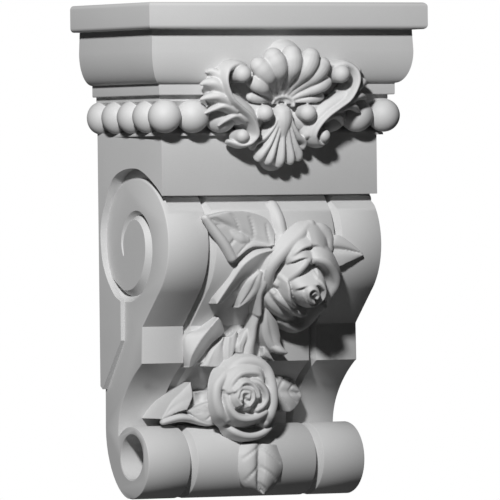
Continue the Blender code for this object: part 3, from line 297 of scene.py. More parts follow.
UPPER_PETALS = [
    ([(-21, -4, 4), (-23.5, -1, 6), (-25.5, 5, 7.5), (-25, 12.5, 8), (-20, 20.5, 7.5), (-13.5, 26.5, 5.5),
      (-5, 31.5, 2), (3, 34.5, -4)], (9, 5.0), (2.5, 2), 4.2),
    ([(-15.5, 15.5, 6), (-14.5, 20, 8.5), (-12.5, 24.5, 10), (-8.5, 28, 10), (-3, 29, 9)], (5, 6),
     (4.5, 1), 1.2),
    ([(-2, 29, 8), (3, 28.5, 7.5), (7.5, 25.5, 8), (10, 21.5, 9)], (5, 6), (1.6, 7), 1.4),
    ([(-15.5, 16.5, 8), (-14, 19.5, 11), (-11, 22, 12.5), (-7.5, 23, 13), (-2.5, 22, 12.5)], (6, 3),
     (1.5, 2.5), 0.8),
    ([(6, 31, -4), (11, 31, -3), (15.5, 27, -1), (15.5, 22, 2)], (1.5, 8), (2.0, 3), 5.5),
    ([(-18.5, 1.5, 8.5), (-15.8, 5, 12), (-13.5, 9.5, 14.5), (-10.5, 14.5, 16), (-7, 18.5, 15.5),
      (-4.5, 20.5, 14)], (8, 3), (3.0, 1.5), 2.4),
    ([(-1, 19.5, 12.5), (2.5, 21.5, 15), (8.5, 19.5, 16), (15, 13.5, 15.5), (19.5, 6.5, 15),
      (20.5, -0.5, 13.5), (20, -8, 10)], (7, 8), (1.5, 3), 2.8),
    ([(-11.5, 2, 17), (-11, 5.5, 20.5), (-8, 7.5, 22), (-2.5, 8.5, 22.5), (1.5, 8.5, 22.5),
      (5.5, 5.5, 22)], (4, 2), (2.4, 4), 0.8),
    ([(6, -8, 18), (1.5, -7.5, 21), (-3.5, -4, 22.5), (-7.5, 0.5, 22.8), (-8.5, 3.5, 22)], (5, 1.6),
     (1.8, 3.5), 0.7),
    ([(-5.5, -12, 13), (-10, -8.5, 16.5), (-14, -3.5, 18), (-16, 2.5, 17.5), (-17, 6.5, 15)], (5, 2.5),
     (4.5, 4), 0.9),
    ([(0.5, -4, 24), (-3.5, -1.5, 25), (-6, 2.5, 25.3), (-6, 5.5, 25.5), (-3.5, 7, 25.5),
      (-0.5, 5.5, 25.5), (1.5, 2.5, 25.2), (1, 0, 25)], (4, 2.5), (3.5, 3), 0.8),
    ([(-3, 2.5, 24.5), (-1.8, 4, 24.8), (-0.3, 2.8, 24.5)], (2, 1.5), (2.5, 2), 0.7),
    ([(1, 11.5, 19.5), (4.5, 8.5, 22), (7.5, 3.5, 22.5), (8, -2, 21.5), (6, -7.5, 19)], (4, 2), (2.0, 3),
     0.6),
    ([(2, -26, 1), (-3.5, -23.5, 4), (-9.5, -19.5, 6.5), (-16.5, -14.5, 7), (-20.5, -10, 6),
      (-22.5, -5.5, 4)], (6, 5), (1.6, 3), 3.4),
    ([(8, -22, 4.5), (3.5, -20.5, 8.5), (-3, -16.5, 11), (-11.5, -11.5, 12), (-17, -7.5, 11.5),
      (-20, -4.5, 9)], (7, 4), (3.0, 4), 1.8),
    ([(19, -15.5, 8), (16.5, -21, 6), (13.5, -28.5, 4), (8, -33, 3), (0, -30.5, 3),
      (-7, -27, 3)], (3, 12), (1.0, 3), 2.5),
]

# Leaves: name, depth towards the wall, swell of each half, depth of the midrib crease, side veins, and the
# left edge, midrib and right edge from base to tip
LEAVES = [
    ("stem leaf left", 12, 0.6, 1.2, 3, (
        [(-0.5, 80, 9), (-6, 80, 17.5), (-20, 81.5, 22), (-34.5, 83, 22.5), (-52, 84.5, 19)],
        [(-2.5, 83, 1), (-14, 82, 3.5), (-23.5, 81.5, 7.5), (-35, 82, 13.5), (-52, 84.5, 19)],
        [(-6.5, 83, 0), (-19.5, 83.5, -0.5), (-31.5, 84, -7.5), (-38, 84.5, -1.5), (-52, 84.5, 18)])),
    ("drooping leaf", 18, 0.6, 0.0, 0, (
        [(-5, 81, -0.5), (-17, 79, -1.5), (-27.5, 77, -9), (-33, 72, -20), (-37.5, 67, -31.5)],
        [(-4, 85, -2), (-14.5, 84, -4.5), (-24, 82, -11), (-30.5, 77, -22), (-37.5, 71, -35)],
        [(-3, 80, -4.5), (-5, 79, -8), (-11.5, 76, -16), (-20, 71, -23), (-31.5, 67, -35)])),
    ("small leaf", 16, 1.2, 0.8, 0, (
        [(-11.5, 76, -15.5), (-17, 74, -20), (-19, 71, -25.5), (-19.5, 67, -32), (-19, 64, -37.5)],
        [(-11.5, 80, -14.5), (-13, 78, -20), (-14, 74, -26.5), (-17, 69, -33.5), (-19.5, 65, -37.5)],
        [(-8, 78, -16), (-8, 76, -23.5), (-7, 74, -26.5), (-10.5, 69, -33), (-18.5, 65, -38)])),
    ("stem leaf right", 14, 0.8, 1.6, 0, (
        [(37, 80, 5), (44, 82, 7), (53, 82.5, 2), (62, 81.5, -4.5)],
        [(31.5, 81, -3), (40.5, 82, -2), (49.5, 82, -2.5), (62, 81.5, -5)],
        [(35, 80, -6.5), (43.5, 81, -13), (52.5, 82, -10), (62.5, 81.5, -6.5)])),
    ("hanging leaf left", 14, 0.8, -0.6, 0, (
        [(-29, 55, -43), (-37.5, 51, -50.5), (-47.5, 50, -54.5), (-48.5, 50, -64), (-46, 46, -75)],
        [(-30, 60, -43.5), (-35.5, 58, -50), (-41, 56, -57.5), (-46, 54, -66.5), (-46.5, 50, -74.5)],
        [(-25, 56, -47.5), (-23, 54, -53.5), (-30, 52, -59.5), (-35, 50, -66), (-41.5, 48, -74.5)])),
    ("fan leaf outer", 10, 0.8, 0.0, 0, (
        [(-23.5, 49, -58.5), (-29.5, 49, -63.5), (-33, 49, -69.5), (-35.5, 48, -74)],
        [(-22.5, 52, -56), (-26.5, 51.5, -62), (-29.5, 51, -68), (-31, 50, -74.5)],
        [(-20.5, 50, -56), (-21.5, 50.5, -62), (-21.5, 51, -67.5), (-21.5, 49.5, -74.5)])),
    ("fan leaf middle", 10, 1.0, 0.0, 0, (
        [(-20.5, 51, -56), (-21.5, 51.5, -62), (-21.5, 51.5, -67.5), (-20.5, 50, -73.5)],
        [(-17, 53, -55.5), (-18, 53.5, -61), (-18.5, 53.5, -66.5), (-18.5, 52, -73)],
        [(-11.5, 51, -51.5), (-12.5, 52, -57.5), (-13.5, 52, -62.5), (-16.5, 51, -70.5)])),
    ("fan leaf inner", 10, 1.0, 0.0, 0, (
        [(-10.5, 51, -55), (-12, 52, -58.5), (-14, 53, -62), (-13, 52, -66)],
        [(-6.5, 54, -51), (-10, 55, -56.5), (-11, 55, -61), (-11, 54, -66)],
        [(-3, 52, -51), (-5, 53, -57.5), (-7.5, 53, -61.5), (-8.5, 52, -66.5)])),
    ("pendant leaf", 16, 0.8, 0.6, 0, (
        [(1, 62, -39.5), (1, 60, -48), (4, 57, -57.5), (11, 55, -65.5), (21.5, 55, -67)],
        [(0.5, 66, -38), (3.5, 64, -45.5), (8, 60, -55), (12, 58, -61.5), (21, 57, -67)],
        [(5, 64, -41.5), (11.5, 61, -47), (15.5, 58, -55.5), (16.5, 57, -61), (22, 56, -66.5)])),
    ("sprig", 8, 0.6, 0.4, 0, (
        [(7, 49, -66.5), (7, 49, -68.5), (10.5, 49, -70), (15, 49, -71)],
        [(6.5, 52, -63), (8, 52, -66.5), (11.5, 51, -69), (14.5, 50, -71)],
        [(9, 50, -62.5), (11, 51, -65.5), (13.5, 50, -68.5), (15.5, 49, -71)])),
    ("rose leaf tip", 28, 0.4, 0.0, 0, (
        [(-39, 40, -84), (-47, 41, -90), (-55, 42, -96.5), (-61.5, 42, -106)],
        [(-39.5, 43, -93), (-48, 43.5, -96), (-55, 43, -100), (-61.5, 42, -106.5)],
        [(-44.5, 45, -101), (-49.5, 45, -102), (-55, 44, -104), (-61, 42, -106.5)])),
    ("rose leaf lobe", 28, 0.6, 0.0, 1, (
        [(-24.5, 42, -95.5), (-29.5, 43, -97), (-34.5, 43, -98.5), (-43, 44, -101.5)],
        [(-23.5, 44, -102.5), (-30, 45, -103), (-35.5, 45, -102.5), (-43.5, 44.5, -101.5)],
        [(-23, 45, -108.5), (-29.5, 46, -109.5), (-37, 46, -107), (-44, 45, -102)])),
    ("rose leaf hollow", 22, -0.6, 0.6, 0, (
        [(-20.5, 34, -89.5), (-26, 35, -89.5), (-31, 36, -90), (-35, 38, -90.5)],
        [(-22.5, 37, -93), (-27.5, 37, -93.5), (-31, 36, -95), (-35.5, 37, -95.5)],
        [(-23.5, 38, -97), (-28, 38, -98), (-31.5, 38, -100.5), (-38, 38, -101)])),
    ("rose leaf right", 24, 0.8, 1.2, 2, (
        [(25, 33, -77), (34, 32, -79.5), (41.5, 31, -86), (46, 31, -93)],
        [(25, 36, -91), (32.5, 36, -91.5), (39, 34, -92), (46, 31, -94)],
        [(28.5, 34, -103), (36.5, 33, -104), (43, 32, -99.5), (46, 31, -95)])),
    ("roll leaf", 12, 2.4, 2.6, 2, (
        [(-10.5, 52, -122.5), (-14, 54, -130), (-13.5, 54, -141), (-8, 51, -150), (5.5, 49, -155.5)],
        [(1.5, 55, -123), (-0.5, 58, -130.5), (-0.5, 58, -140), (0, 56, -147.5), (5.5, 50, -155)],
        [(15.5, 52, -124), (18.5, 54, -134), (17.5, 54, -141.5), (14, 51, -150.5), (7, 49, -155.5)])),
]

# Stems and rolled edges, as lines of (x, out, z, half width, half height)
STEMS = [
    ("upper stem", [(3, 69, 23, 5.5, 7), (3.5, 74, 15, 5.5, 8), (4, 76, 6, 5, 8), (1.5, 78, -2, 5, 8),
                    (-1.5, 78, -8, 6, 7), (-5, 74, -16.5, 4.5, 8), (-7, 66, -28, 3, 8),
                    (-4, 60, -40, 2.5, 7)]),
    ("lower stem", [(-2.5, 60, -37, 2.5, 6), (-3, 54, -48, 3, 6), (-3, 51, -56.5, 3.6, 6),
                    (-4, 49, -63.5, 5, 6), (-4, 47, -68.5, 6.5, 6)]),
    ("curled edge", [(-52, 82.5, 18.5, 2, 3), (-44.5, 82, 9.5, 3, 4), (-38, 82, 1.5, 3.2, 4),
                     (-32.5, 81, -6.5, 3, 4)]),
    ("leaf lobe", [(-33, 77, 8.5, 4, 6), (-26.5, 77, 5, 5, 7), (-22, 77, 4, 4, 6)]),
    ("curled tip", [(11.5, 54, -63, 2.2, 4), (15.5, 55, -65, 2.4, 4), (20, 55, -66.5, 1.4, 3)]),
    ("rolled edge", [(-60, 41, -108.5, 1.8, 3), (-50, 41, -106, 2.8, 5), (-43, 41, -106.5, 2.4, 5.5),
                     (-37.5, 41.5, -108.5, 1.6, 5), (-29, 41, -110.5, 1.2, 5), (-19, 40, -109, 1.2, 4)]),
]

# Primer: each noise has a scale, a detail and the range that its values are spread over
TONE_CLOUDS = (18.0, 3.0, 0.585, 0.605)
TONE_GRAIN = (1500.0, 2.0, 0.985, 1.015)
SHEEN_CLOUDS = (60.0, 2.0, 0.56, 0.66)
NOISE_LOW = 0.3
NOISE_HIGH = 0.7
PEEL_SCALE = 700.0
PEEL_DETAIL = 3.0
PEEL_STRENGTH = 0.12
PEEL_DEPTH = 0.2

# Camera, fitted to the photograph
CAMERA_YAW = 30.0
CAMERA_PITCH = 0.218821
CAMERA_ROLL = 0.674684
CAMERA_DISTANCE = 5615.7
CAMERA_RIGHT = 24.04
CAMERA_UP = -2.08
CAMERA_LENS = 641.3
SENSOR_WIDTH = 36.0

# Light, floor and the camera's reach. Lengths here are in metres
KEY_DIRECTION = (-0.78, -1.0, 0.7)
KEY_DISTANCE = 1.3
KEY_SIZE = 0.11
KEY_POWER = 16.8
ROOM_LIGHT = 0.02
FLOOR_Z = -1.5
FLOOR_RADIUS = 1.4
FLOOR_SEGMENTS = 96
FLOOR_GREY = 0.6
FLOOR_ROUGHNESS = 0.9
CAMERA_REACH = 20.0


def to_world(point):
    return Vector((point[0] * MM, -point[1] * MM, point[2] * MM))


def new_collection(name):
    collection = bpy.data.collections.new(name)
    bpy.context.scene.collection.children.link(collection)
    return collection


def mesh_object(name, points, faces, collection):
    mesh = bpy.data.meshes.new(name)
    mesh.from_pydata([to_world(p) for p in points], [], faces)
    work = bmesh.new()
    work.from_mesh(mesh)
    bmesh.ops.recalc_face_normals(work, faces=work.faces)
    work.to_mesh(mesh)
    work.free()
    made = bpy.data.objects.new(name, mesh)
    collection.objects.link(made)
    return made


def mesh_from(work, name):
    mesh = bpy.data.meshes.new(name)
    work.to_mesh(mesh)
    work.free()
    return mesh


def evaluated(made):
    seen_by = bpy.context.evaluated_depsgraph_get()
    return bpy.data.meshes.new_from_object(made.evaluated_get(seen_by))


def boolean(target, operation, other=None, group=None):
    step = target.modifiers.new(operation.title(), "BOOLEAN")
    step.operation = operation
    step.solver = "EXACT"
    if group is None:
        step.object = other
    else:
        step.operand_type = "COLLECTION"
        step.collection = group
    return step


def joined(name, pieces):
    """One mesh object from the pieces, which are removed."""
    work = bmesh.new()
    for piece in pieces:
        mesh = piece.data
        mesh.transform(Matrix.Translation(piece.location))
        work.from_mesh(mesh)
        bpy.data.objects.remove(piece)
    made = bpy.data.objects.new(name, mesh_from(work, name))
    bpy.context.scene.collection.objects.link(made)
    return made


def fused(name, pieces, ratio=CARVING_RATIO):
    """One closed surface over the pieces, softened as a casting is."""
    made = joined(name, pieces)
    skin = made.modifiers.new("Remesh", "REMESH")
    skin.mode = "VOXEL"
    skin.voxel_size = CARVING_VOXEL * MM
    soft = made.modifiers.new("Smooth", "SMOOTH")
    soft.factor = SOFTEN_FACTOR
    soft.iterations = SOFTEN_PASSES
    made.data = without_pockets(made)
    made.modifiers.clear()
    fewer = made.modifiers.new("Decimate", "DECIMATE")
    fewer.ratio = ratio
    made.data = evaluated(made)
    made.modifiers.clear()
    made.data.shade_smooth()
    return made


def without_pockets(made):
    """The object's evaluated mesh without the inner shells that bound closed pockets."""
    work = bmesh.new()
    work.from_mesh(evaluated(made))
    left = set(work.verts)
    pockets = []
    while left:
        island = [left.pop()]
        for vertex in island:
            for edge in vertex.link_edges:
                other = edge.other_vert(vertex)
                if other in left:
                    left.remove(other)
                    island.append(other)
        faces = {face for vertex in island for face in vertex.link_faces}
        volume = sum(face.calc_center_median().dot(face.normal) * face.calc_area() for face in faces)
        if volume < 0:
            pockets += island
    bmesh.ops.delete(work, geom=pockets, context="VERTS")
    return mesh_from(work, made.name)


def trim_at_wall(made):
    """Cuts off what reaches behind the wall plane and closes the cut."""
    if max(corner[1] for corner in made.bound_box) <= 0:
        return
    work = bmesh.new()
    work.from_mesh(made.data)
    geometry = list(work.verts) + list(work.edges) + list(work.faces)
    cut = bmesh.ops.bisect_plane(work, geom=geometry, plane_co=(0, 0, 0), plane_no=(0, 1, 0),
                                 clear_outer=True)
    edges = [part for part in cut["geom_cut"] if isinstance(part, bmesh.types.BMEdge)]
    bmesh.ops.holes_fill(work, edges=edges)
    work.to_mesh(made.data)
    work.free()


# Curves

def arc(centre_out, centre_z, radius, start, end, steps):
    points = []
    for k in range(steps + 1):
        angle = math.radians(start + (end - start) * k / steps)
        points.append((centre_out + radius * math.cos(angle), centre_z + radius * math.sin(angle)))
    return points


def bezier(a, b, c, d, steps):
    points = []
    for k in range(steps + 1):
        t = k / steps
        weights = ((1 - t) ** 3, 3 * t * (1 - t) ** 2, 3 * t * t * (1 - t), t ** 3)
        points.append(tuple(sum(w * p[i] for w, p in zip(weights, (a, b, c, d))) for i in range(len(a))))
    return points


def smooth(points, steps):
    """A Catmull-Rom curve through the points, with the given number of steps between neighbours."""
    result = []
    last = len(points) - 1
    for k in range(last):
        p0, p1, p2, p3 = points[max(k - 1, 0)], points[k], points[k + 1], points[min(k + 2, last)]
        for s in range(steps):
            t = s / steps
            result.append(tuple(
                0.5 * (2 * p1[i] + (p2[i] - p0[i]) * t + (2 * p0[i] - 5 * p1[i] + 4 * p2[i] - p3[i]) * t * t
                       + (3 * p1[i] - p0[i] - 3 * p2[i] + p3[i]) * t ** 3)
                for i in range(len(p1))))
    result.append(points[last])
    return result


# Solids from sections

def loft(name, rings, collection):
    """A closed solid through rings of equal length, with a flat face on each end ring."""
    count = len(rings[0])
    points = [p for ring in rings for p in ring]
    faces = [list(range(count))[::-1], list(range(len(points) - count, len(points)))]
    for r in range(len(rings) - 1):
        for k in range(count):
            after = (k + 1) % count
            faces.append([r * count + k, r * count + after, (r + 1) * count + after, (r + 1) * count + k])
    return mesh_object(name, points, faces, collection)


def with_round_ends(line):
    """The line with smaller sections added beyond each end, and the two end points."""
    longer, tips = list(line), []
    for end, inner in ((line[0], line[1]), (line[-1], line[-2])):
        away = (Vector(end[:3]) - Vector(inner[:3])).normalized() * end[3]
        caps = []
        for angle in END_ANGLES:
            beyond, shrink = math.sin(math.radians(angle)), math.cos(math.radians(angle))
            caps.append(tuple(Vector(end[:3]) + away * beyond) + (end[3] * shrink, end[4] * shrink))
        longer = caps[::-1] + longer if end is line[0] else longer + caps
        tips.append(tuple(Vector(end[:3]) + away))
    return longer, tips


def tube(name, path, collection, sides=18, steps=8):
    """A tapering bar with round ends along a path of (x, out, z, half width, half height).

    Half width lies along the surface behind it and half height stands out from the wall.
    """
    line, tips = with_round_ends(smooth(path, steps))
    outward = Vector((0, 1, 0))
    points = []
    for k, row in enumerate(line):
        before = Vector(line[max(k - 1, 0)][:3])
        after = Vector(line[min(k + 1, len(line) - 1)][:3])
        along = (after - before).normalized()
        lift = outward - along * outward.dot(along)
        if lift.length < STEEP_PATH:
            lift = Vector((0, 0, 1)) - along * along.z
        lift.normalize()
        side = along.cross(lift)
        for s in range(sides):
            angle = 2 * math.pi * s / sides
            points.append(tuple(Vector(row[:3]) + side * (row[3] * math.cos(angle))
                                + lift * (row[4] * math.sin(angle))))
    faces = []
    for r in range(len(line) - 1):
        for s in range(sides):
            after = (s + 1) % sides
            faces.append([r * sides + s, r * sides + after, (r + 1) * sides + after, (r + 1) * sides + s])
    points.extend(tips)
    start, end = len(points) - 2, len(points) - 1
    base = (len(line) - 1) * sides
    for s in range(sides):
        after = (s + 1) % sides
        faces.append([start, after, s])
        faces.append([end, base + s, base + after])
    return mesh_object(name, points, faces, collection)


def sheet(name, top, under, collection):
    """A closed solid between two grids of points of the same size."""
    rows, columns = len(top), len(top[0])
    points = [p for row in top for p in row] + [p for row in under for p in row]
    shift = rows * columns
    faces = []
    for r in range(rows - 1):
        for c in range(columns - 1):
            a = r * columns + c
            quad = [a, a + 1, a + columns + 1, a + columns]
            faces.append(quad)
            faces.append([shift + k for k in reversed(quad)])
    rim = [c for c in range(columns)]
    rim += [r * columns + columns - 1 for r in range(1, rows)]
    rim += [(rows - 1) * columns + c for c in range(columns - 2, -1, -1)]
    rim += [r * columns for r in range(rows - 2, 0, -1)]
    for k, a in enumerate(rim):
        b = rim[(k + 1) % len(rim)]
        faces.append([a, shift + a, shift + b, b])
    return mesh_object(name, points, faces, collection)


def ball(name, centre, radius, collection, segments=40, rings=24):
    mesh = bpy.data.meshes.new(name)
    work = bmesh.new()
    bmesh.ops.create_uvsphere(work, u_segments=segments, v_segments=rings, radius=radius * MM)
    work.to_mesh(mesh)
    work.free()
    made = bpy.data.objects.new(name, mesh)
    made.location = to_world(centre)
    collection.objects.link(made)
    return made


# Body

def moulding_profile():
    """Half width, reach and height down the slab, quarter round, fillet, bead channel and shelf."""
    turn = arc(-SLAB_ROUND, SLAB_TOP - SLAB_ROUND, SLAB_ROUND, 90, 0, ROUND_STEPS)
    turn += arc(-SLAB_ROUND, SLAB_UNDER + SLAB_ROUND, SLAB_ROUND, 0, -90, ROUND_STEPS)
    profile = [(SLAB_HALF + x, SLAB_OUT + x, z) for x, z in turn]
    profile.append((OVOLO_HALF - OVOLO_LIP, OVOLO_OUT - OVOLO_LIP, SLAB_UNDER))
    for across, z in arc(0, 0, 1, 0, -90, OVOLO_STEPS):
        profile.append((FILLET_HALF + (OVOLO_HALF - FILLET_HALF) * across,
                        FILLET_OUT + (OVOLO_OUT - FILLET_OUT) * across,
                        OVOLO_TURN + (OVOLO_TURN - FILLET_TOP) * z))
    profile += [(FILLET_HALF + x, FILLET_OUT + x, z) for x, z in rounded_under(FILLET_UNDER, EDGE_ROUND)]
    profile += [(NECKING_HALF, NECKING_OUT, FILLET_UNDER), (NECKING_HALF, NECKING_OUT, NECKING_UNDER),
                (CHANNEL_HALF, CHANNEL_OUT, BEAD_Z), (CHANNEL_HALF, CHANNEL_OUT, SHELF_TOP),
                (SHELF_HALF, SHELF_OUT, SHELF_EDGE), (SHELF_HALF, SHELF_OUT, SHELF_UNDER)]
    return profile


def rounded_under(z, radius):
    """Points round a lower outer corner at height z, from the face above it to the face that runs inward."""
    return arc(-radius, z + radius, radius, 0, -90, ROUND_STEPS // 2)


def mouldings(collection):
    rings = []
    for half, out, z in moulding_profile():
        rings.append([(-half, 0, z), (-half, out, z), (half, out, z), (half, 0, z)])
    made = loft("mouldings", rings, collection)
    shade_between_edges(made.data)
    return made


def shade_between_edges(mesh):
    """Shades the mesh smooth and keeps its sharp edges."""
    mesh.shade_smooth()
    mesh.set_sharp_from_angle(angle=math.radians(SHARP_ANGLE))


def beads(collection):
    """One row of beads across the front and one back along each side to the wall."""
    pitch = 2 * BEAD_HALF / (BEADS_ACROSS - 1)
    places = [(-BEAD_HALF + pitch * k, BEAD_OUT, BEAD_Z) for k in range(BEADS_ACROSS)]
    for side in (-1, 1):
        places += [(side * BEAD_HALF, BEAD_OUT - pitch * k, BEAD_Z) for k in range(1, BEADS_DEEP)]
    row = joined("beads", [ball("bead", place, BEAD_RADIUS, collection) for place in places])
    row.data.shade_smooth()
    return row


def block_half(out):
    return BLOCK_HALF_WALL + (BLOCK_HALF_FRONT - BLOCK_HALF_WALL) * out / FASCIA_OUT


def block(collection):
    outline = [(0, BLOCK_TOP), (FASCIA_OUT, BLOCK_TOP), (FASCIA_OUT, FASCIA_UNDER + FASCIA_ROUND),
               (FASCIA_OUT - FASCIA_ROUND_MID, FASCIA_UNDER + FASCIA_ROUND_MID),
               (FASCIA_OUT - FASCIA_ROUND, FASCIA_UNDER), (PLATE_TOP_OUT, FASCIA_UNDER),
               (PLATE_EDGE_OUT, PLATE_EDGE_TOP), (PLATE_EDGE_OUT, PLATE_EDGE_UNDER),
               (PLATE_TIP_OUT, PLATE_TIP_UNDER), (0, PLATE_TIP_UNDER + PLATE_TIP_RISE)]
    rings = [[(side * block_half(out), out, z) for out, z in outline] for side in (-1, 1)]
    return loft("block", rings, collection)


def bites(collection):
    """The spiral-edged recess that lets the side of the volute into the block, on both sides."""
    outline = smooth(BITE_CURVE, BITE_STEPS) + [BITE_CORNER]
    for side in (-1, 1):
        rings = [[(side * half, out, z) for out, z in outline]
                 for half in (BITE_FLOOR_HALF, BLOCK_HALF_WALL + CUT_CLEAR)]
        loft("bite", rings, collection)


def scroll_outline():
    """The side outline of the bracket: its grooved front, and the rest of it at the foot and the wall."""
    volute = arc(VOLUTE_OUT, VOLUTE_Z, VOLUTE_RADIUS, VOLUTE_FROM, VOLUTE_TO, VOLUTE_STEPS)
    cove = bezier((LEDGE_OUT, LEDGE_UNDER), *COVE_BEND, COVE_END, COVE_STEPS)
    roll = arc(ROLL_OUT, ROLL_Z, ROLL_RADIUS, ROLL_FROM, -90, ROLL_STEPS)
    foot = bezier((ROLL_OUT, ROLL_Z - ROLL_RADIUS), *FOOT_BEND, (0, BACK_FOOT), FOOT_STEPS)
    front = volute + [(LEDGE_OUT, LEDGE_TOP)] + cove + roll
    return front, foot[1:] + [(0, BACK_TOP)]


def inset(points, depth):
    """The open line of points moved inwards by depth."""
    moved = []
    for k, (out, z) in enumerate(points):
        before = points[max(k - 1, 0)]
        after = points[min(k + 1, len(points) - 1)]
        along = (after[0] - before[0], after[1] - before[1])
        length = math.hypot(*along)
        moved.append((out + along[1] / length * depth, z - along[0] / length * depth))
    return moved


def scroll_half(z):
    """The sides of the bracket spread slightly towards its foot."""
    return SCROLL_HALF - SCROLL_SPREAD * z


def scroll(collection):
    """The bracket's body, with two V-grooves down its front."""
    front, back = scroll_outline()
    groove = [(GROOVE_HALF, 0.0), (GROOVE_HALF - GROOVE_LIP, GROOVE_LIP_DEPTH),
              (GROOVE_FLOOR_HALF, GROOVE_DEPTH)]
    stations = [(None, 0.0, SIDE_ROUND), (None, -SIDE_ROUND_MID, SIDE_ROUND_MID), (None, -SIDE_ROUND, 0.0)]
    stations += [(GROOVE_X + across, 0, depth) for across, depth in groove]
    stations += [(GROOVE_X - across, 0, depth) for across, depth in reversed(groove)]
    rings = []
    for side in (-1, 1):
        for x, shift, depth in stations[::-side]:
            line = inset(front, depth) if depth else front
            rings.append([(side * (x or scroll_half(z) + shift), out, z) for out, z in line + back])
    return loft("scroll", rings, collection)


def spiral_cutters(collection):
    """A gouge of triangular section that winds in over the face of the volute, on both sides."""
    line = smooth(SPIRAL, SPIRAL_STEPS)
    for side in (-1, 1):
        rings = []
        for k, (out, z, width) in enumerate(line):
            before, after = line[max(k - 1, 0)], line[min(k + 1, len(line) - 1)]
            along = Vector((after[0] - before[0], after[1] - before[1])).normalized()
            across = Vector((-along.y, along.x)) * width * SPIRAL_MOUTH
            clear = side * (SCROLL_HALF + width * SPIRAL_CLEAR)
            rings.append([
                (clear, out + across.x, z + across.y),
                (side * (SCROLL_HALF - width * SPIRAL_DEPTH), out, z),
                (clear, out - across.x, z - across.y)])
        loft("spiral", rings, collection)


def neck_cutter(collection):
    """The short upright neck between the scroll's front and the fascia over it."""
    outline = [(NECK_OUT, FASCIA_UNDER + CUT_CLEAR), (NECK_OUT, NECK_UNDER)] + NECK_CURVE
    outline += [(NECK_CURVE[-1][0] + CUT_CLEAR, NECK_CURVE[-1][1]),
                (NECK_CURVE[-1][0] + CUT_CLEAR, FASCIA_UNDER + CUT_CLEAR)]
    loft("neck", [[(x, out, z) for out, z in outline] for x in (-NECK_HALF, SLAB_HALF)], collection)


def eye_cutters(collection):
    """The round recess with a softened rim in each end of the roll."""
    for side in (-1, 1):
        rings = []
        for shift, grow in ((-EYE_DEPTH, 0), (-EYE_ROUND, 0), (-EYE_ROUND_MID, EYE_ROUND_MID), (0, EYE_ROUND),
                            (CUT_CLEAR, EYE_ROUND + CUT_CLEAR)):
            circle = arc(EYE_OUT, EYE_Z, EYE_RADIUS + grow, 0, 360 - 360 / EYE_POINTS, EYE_POINTS - 1)
            rings.append([(side * (scroll_half(EYE_Z) + shift), out, z) for out, z in circle])
        loft("eye", rings, collection)


def bracket():
    """The fascia block and the scroll as one solid, with the hollows in their sides."""
    model = new_collection("bracket")
    side_cuts = new_collection("side cuts")
    scroll_cuts = new_collection("scroll cuts")
    made = block(model)
    bites(side_cuts)
    spiral_cutters(scroll_cuts)
    eye_cutters(scroll_cuts)
    neck_cutter(scroll_cuts)
    lower = scroll(model)
    boolean(lower, "DIFFERENCE", group=scroll_cuts)
    boolean(made, "DIFFERENCE", group=side_cuts)
    boolean(made, "UNION", other=lower)
    mesh = evaluated(made)
    for group in (model, side_cuts, scroll_cuts):
        for old in list(group.objects):
            bpy.data.objects.remove(old)
        bpy.data.collections.remove(group)
    whole = bpy.data.objects.new("bracket", mesh)
    bpy.context.scene.collection.objects.link(whole)
    shade_between_edges(mesh)
    return whole


# Carving

def mirrored(path):
    return [(-p[0],) + tuple(p[1:]) for p in path]


def both_sides(name, path, collection):
    """A tube along the path, and its mirror image where the path leaves the centre line."""
    tube(name, path, collection)
    if any(point[0] for point in path):
        tube(name, mirrored(path), collection)


def shell(collection):
    """A scallop fan of nine round-headed ribs above an arched hinge."""
    hinge_out, hinge_z = SHELL_HINGE
    for x, out, z, radius in SHELL_HEADS:
        path = []
        for along, widen, rise in SHELL_RIB:
            half = radius * widen
            path.append((x * along, hinge_out + (out - hinge_out) * rise - half,
                         hinge_z + (z - hinge_z) * along, half, half))
        both_sides("shell rib", path, collection)
    turns = [math.radians(angle) for angle in HINGE_TURNS]
    arch = [(HINGE_HALF * math.cos(turn), hinge_out, hinge_z + HINGE_RISE * math.sin(turn)) + HINGE_BAR
            for turn in turns]
    tube("hinge arch", arch, collection)


def blade(name, lines, collection, sag, swell, crease, veins, steps=12, across=9):
    """A leaf solid between its left edge, midrib and right edge, each a line of (x, out, z) from base to tip.

    Each half swells between edge and midrib, the midrib and the side veins are creases, and sag is the leaf's
    depth towards the wall.
    """
    left, rib, right = (smooth(line, steps) for line in lines)
    rows = len(rib)
    top = []
    for r in range(rows):
        t = r / (rows - 1)
        row = []
        for c in range(-across, across + 1):
            s = abs(c) / across
            edge = Vector(left[r] if c < 0 else right[r])
            spot = Vector(rib[r]).lerp(edge, s)
            fold = math.exp(-(s / CREASE_WIDTH) ** 2) * math.sin(math.pi * t) ** CREASE_FADE
            lift = swell * math.sin(math.pi * s) - crease * fold
            if veins:
                phase = (t * (veins + 1) - VEIN_SLANT * s + VEIN_START) % 1.0 - 0.5
                fade = math.sin(math.pi * min(s * VEIN_REACH, 1)) ** VEIN_FADE
                lift -= VEIN_DEPTH * math.exp(-(phase / VEIN_WIDTH) ** 2) * fade
            row.append((spot.x, spot.y + lift, spot.z))
        top.append(row)
    under = [[(x, out - sag, z) for x, out, z in row] for row in top]
    return sheet(name, top, under, collection)


def rose_frame(centre, facing):
    """The centre of a rose's relief, and the directions out of it, to its right and up it."""
    axis = Vector(facing).normalized()
    right = Vector((1, 0, 0)) - axis * axis.x
    right.normalize()
    up = right.cross(axis) * -1
    if up.z < 0:
        up = -up
    return Vector(centre), axis, right, up


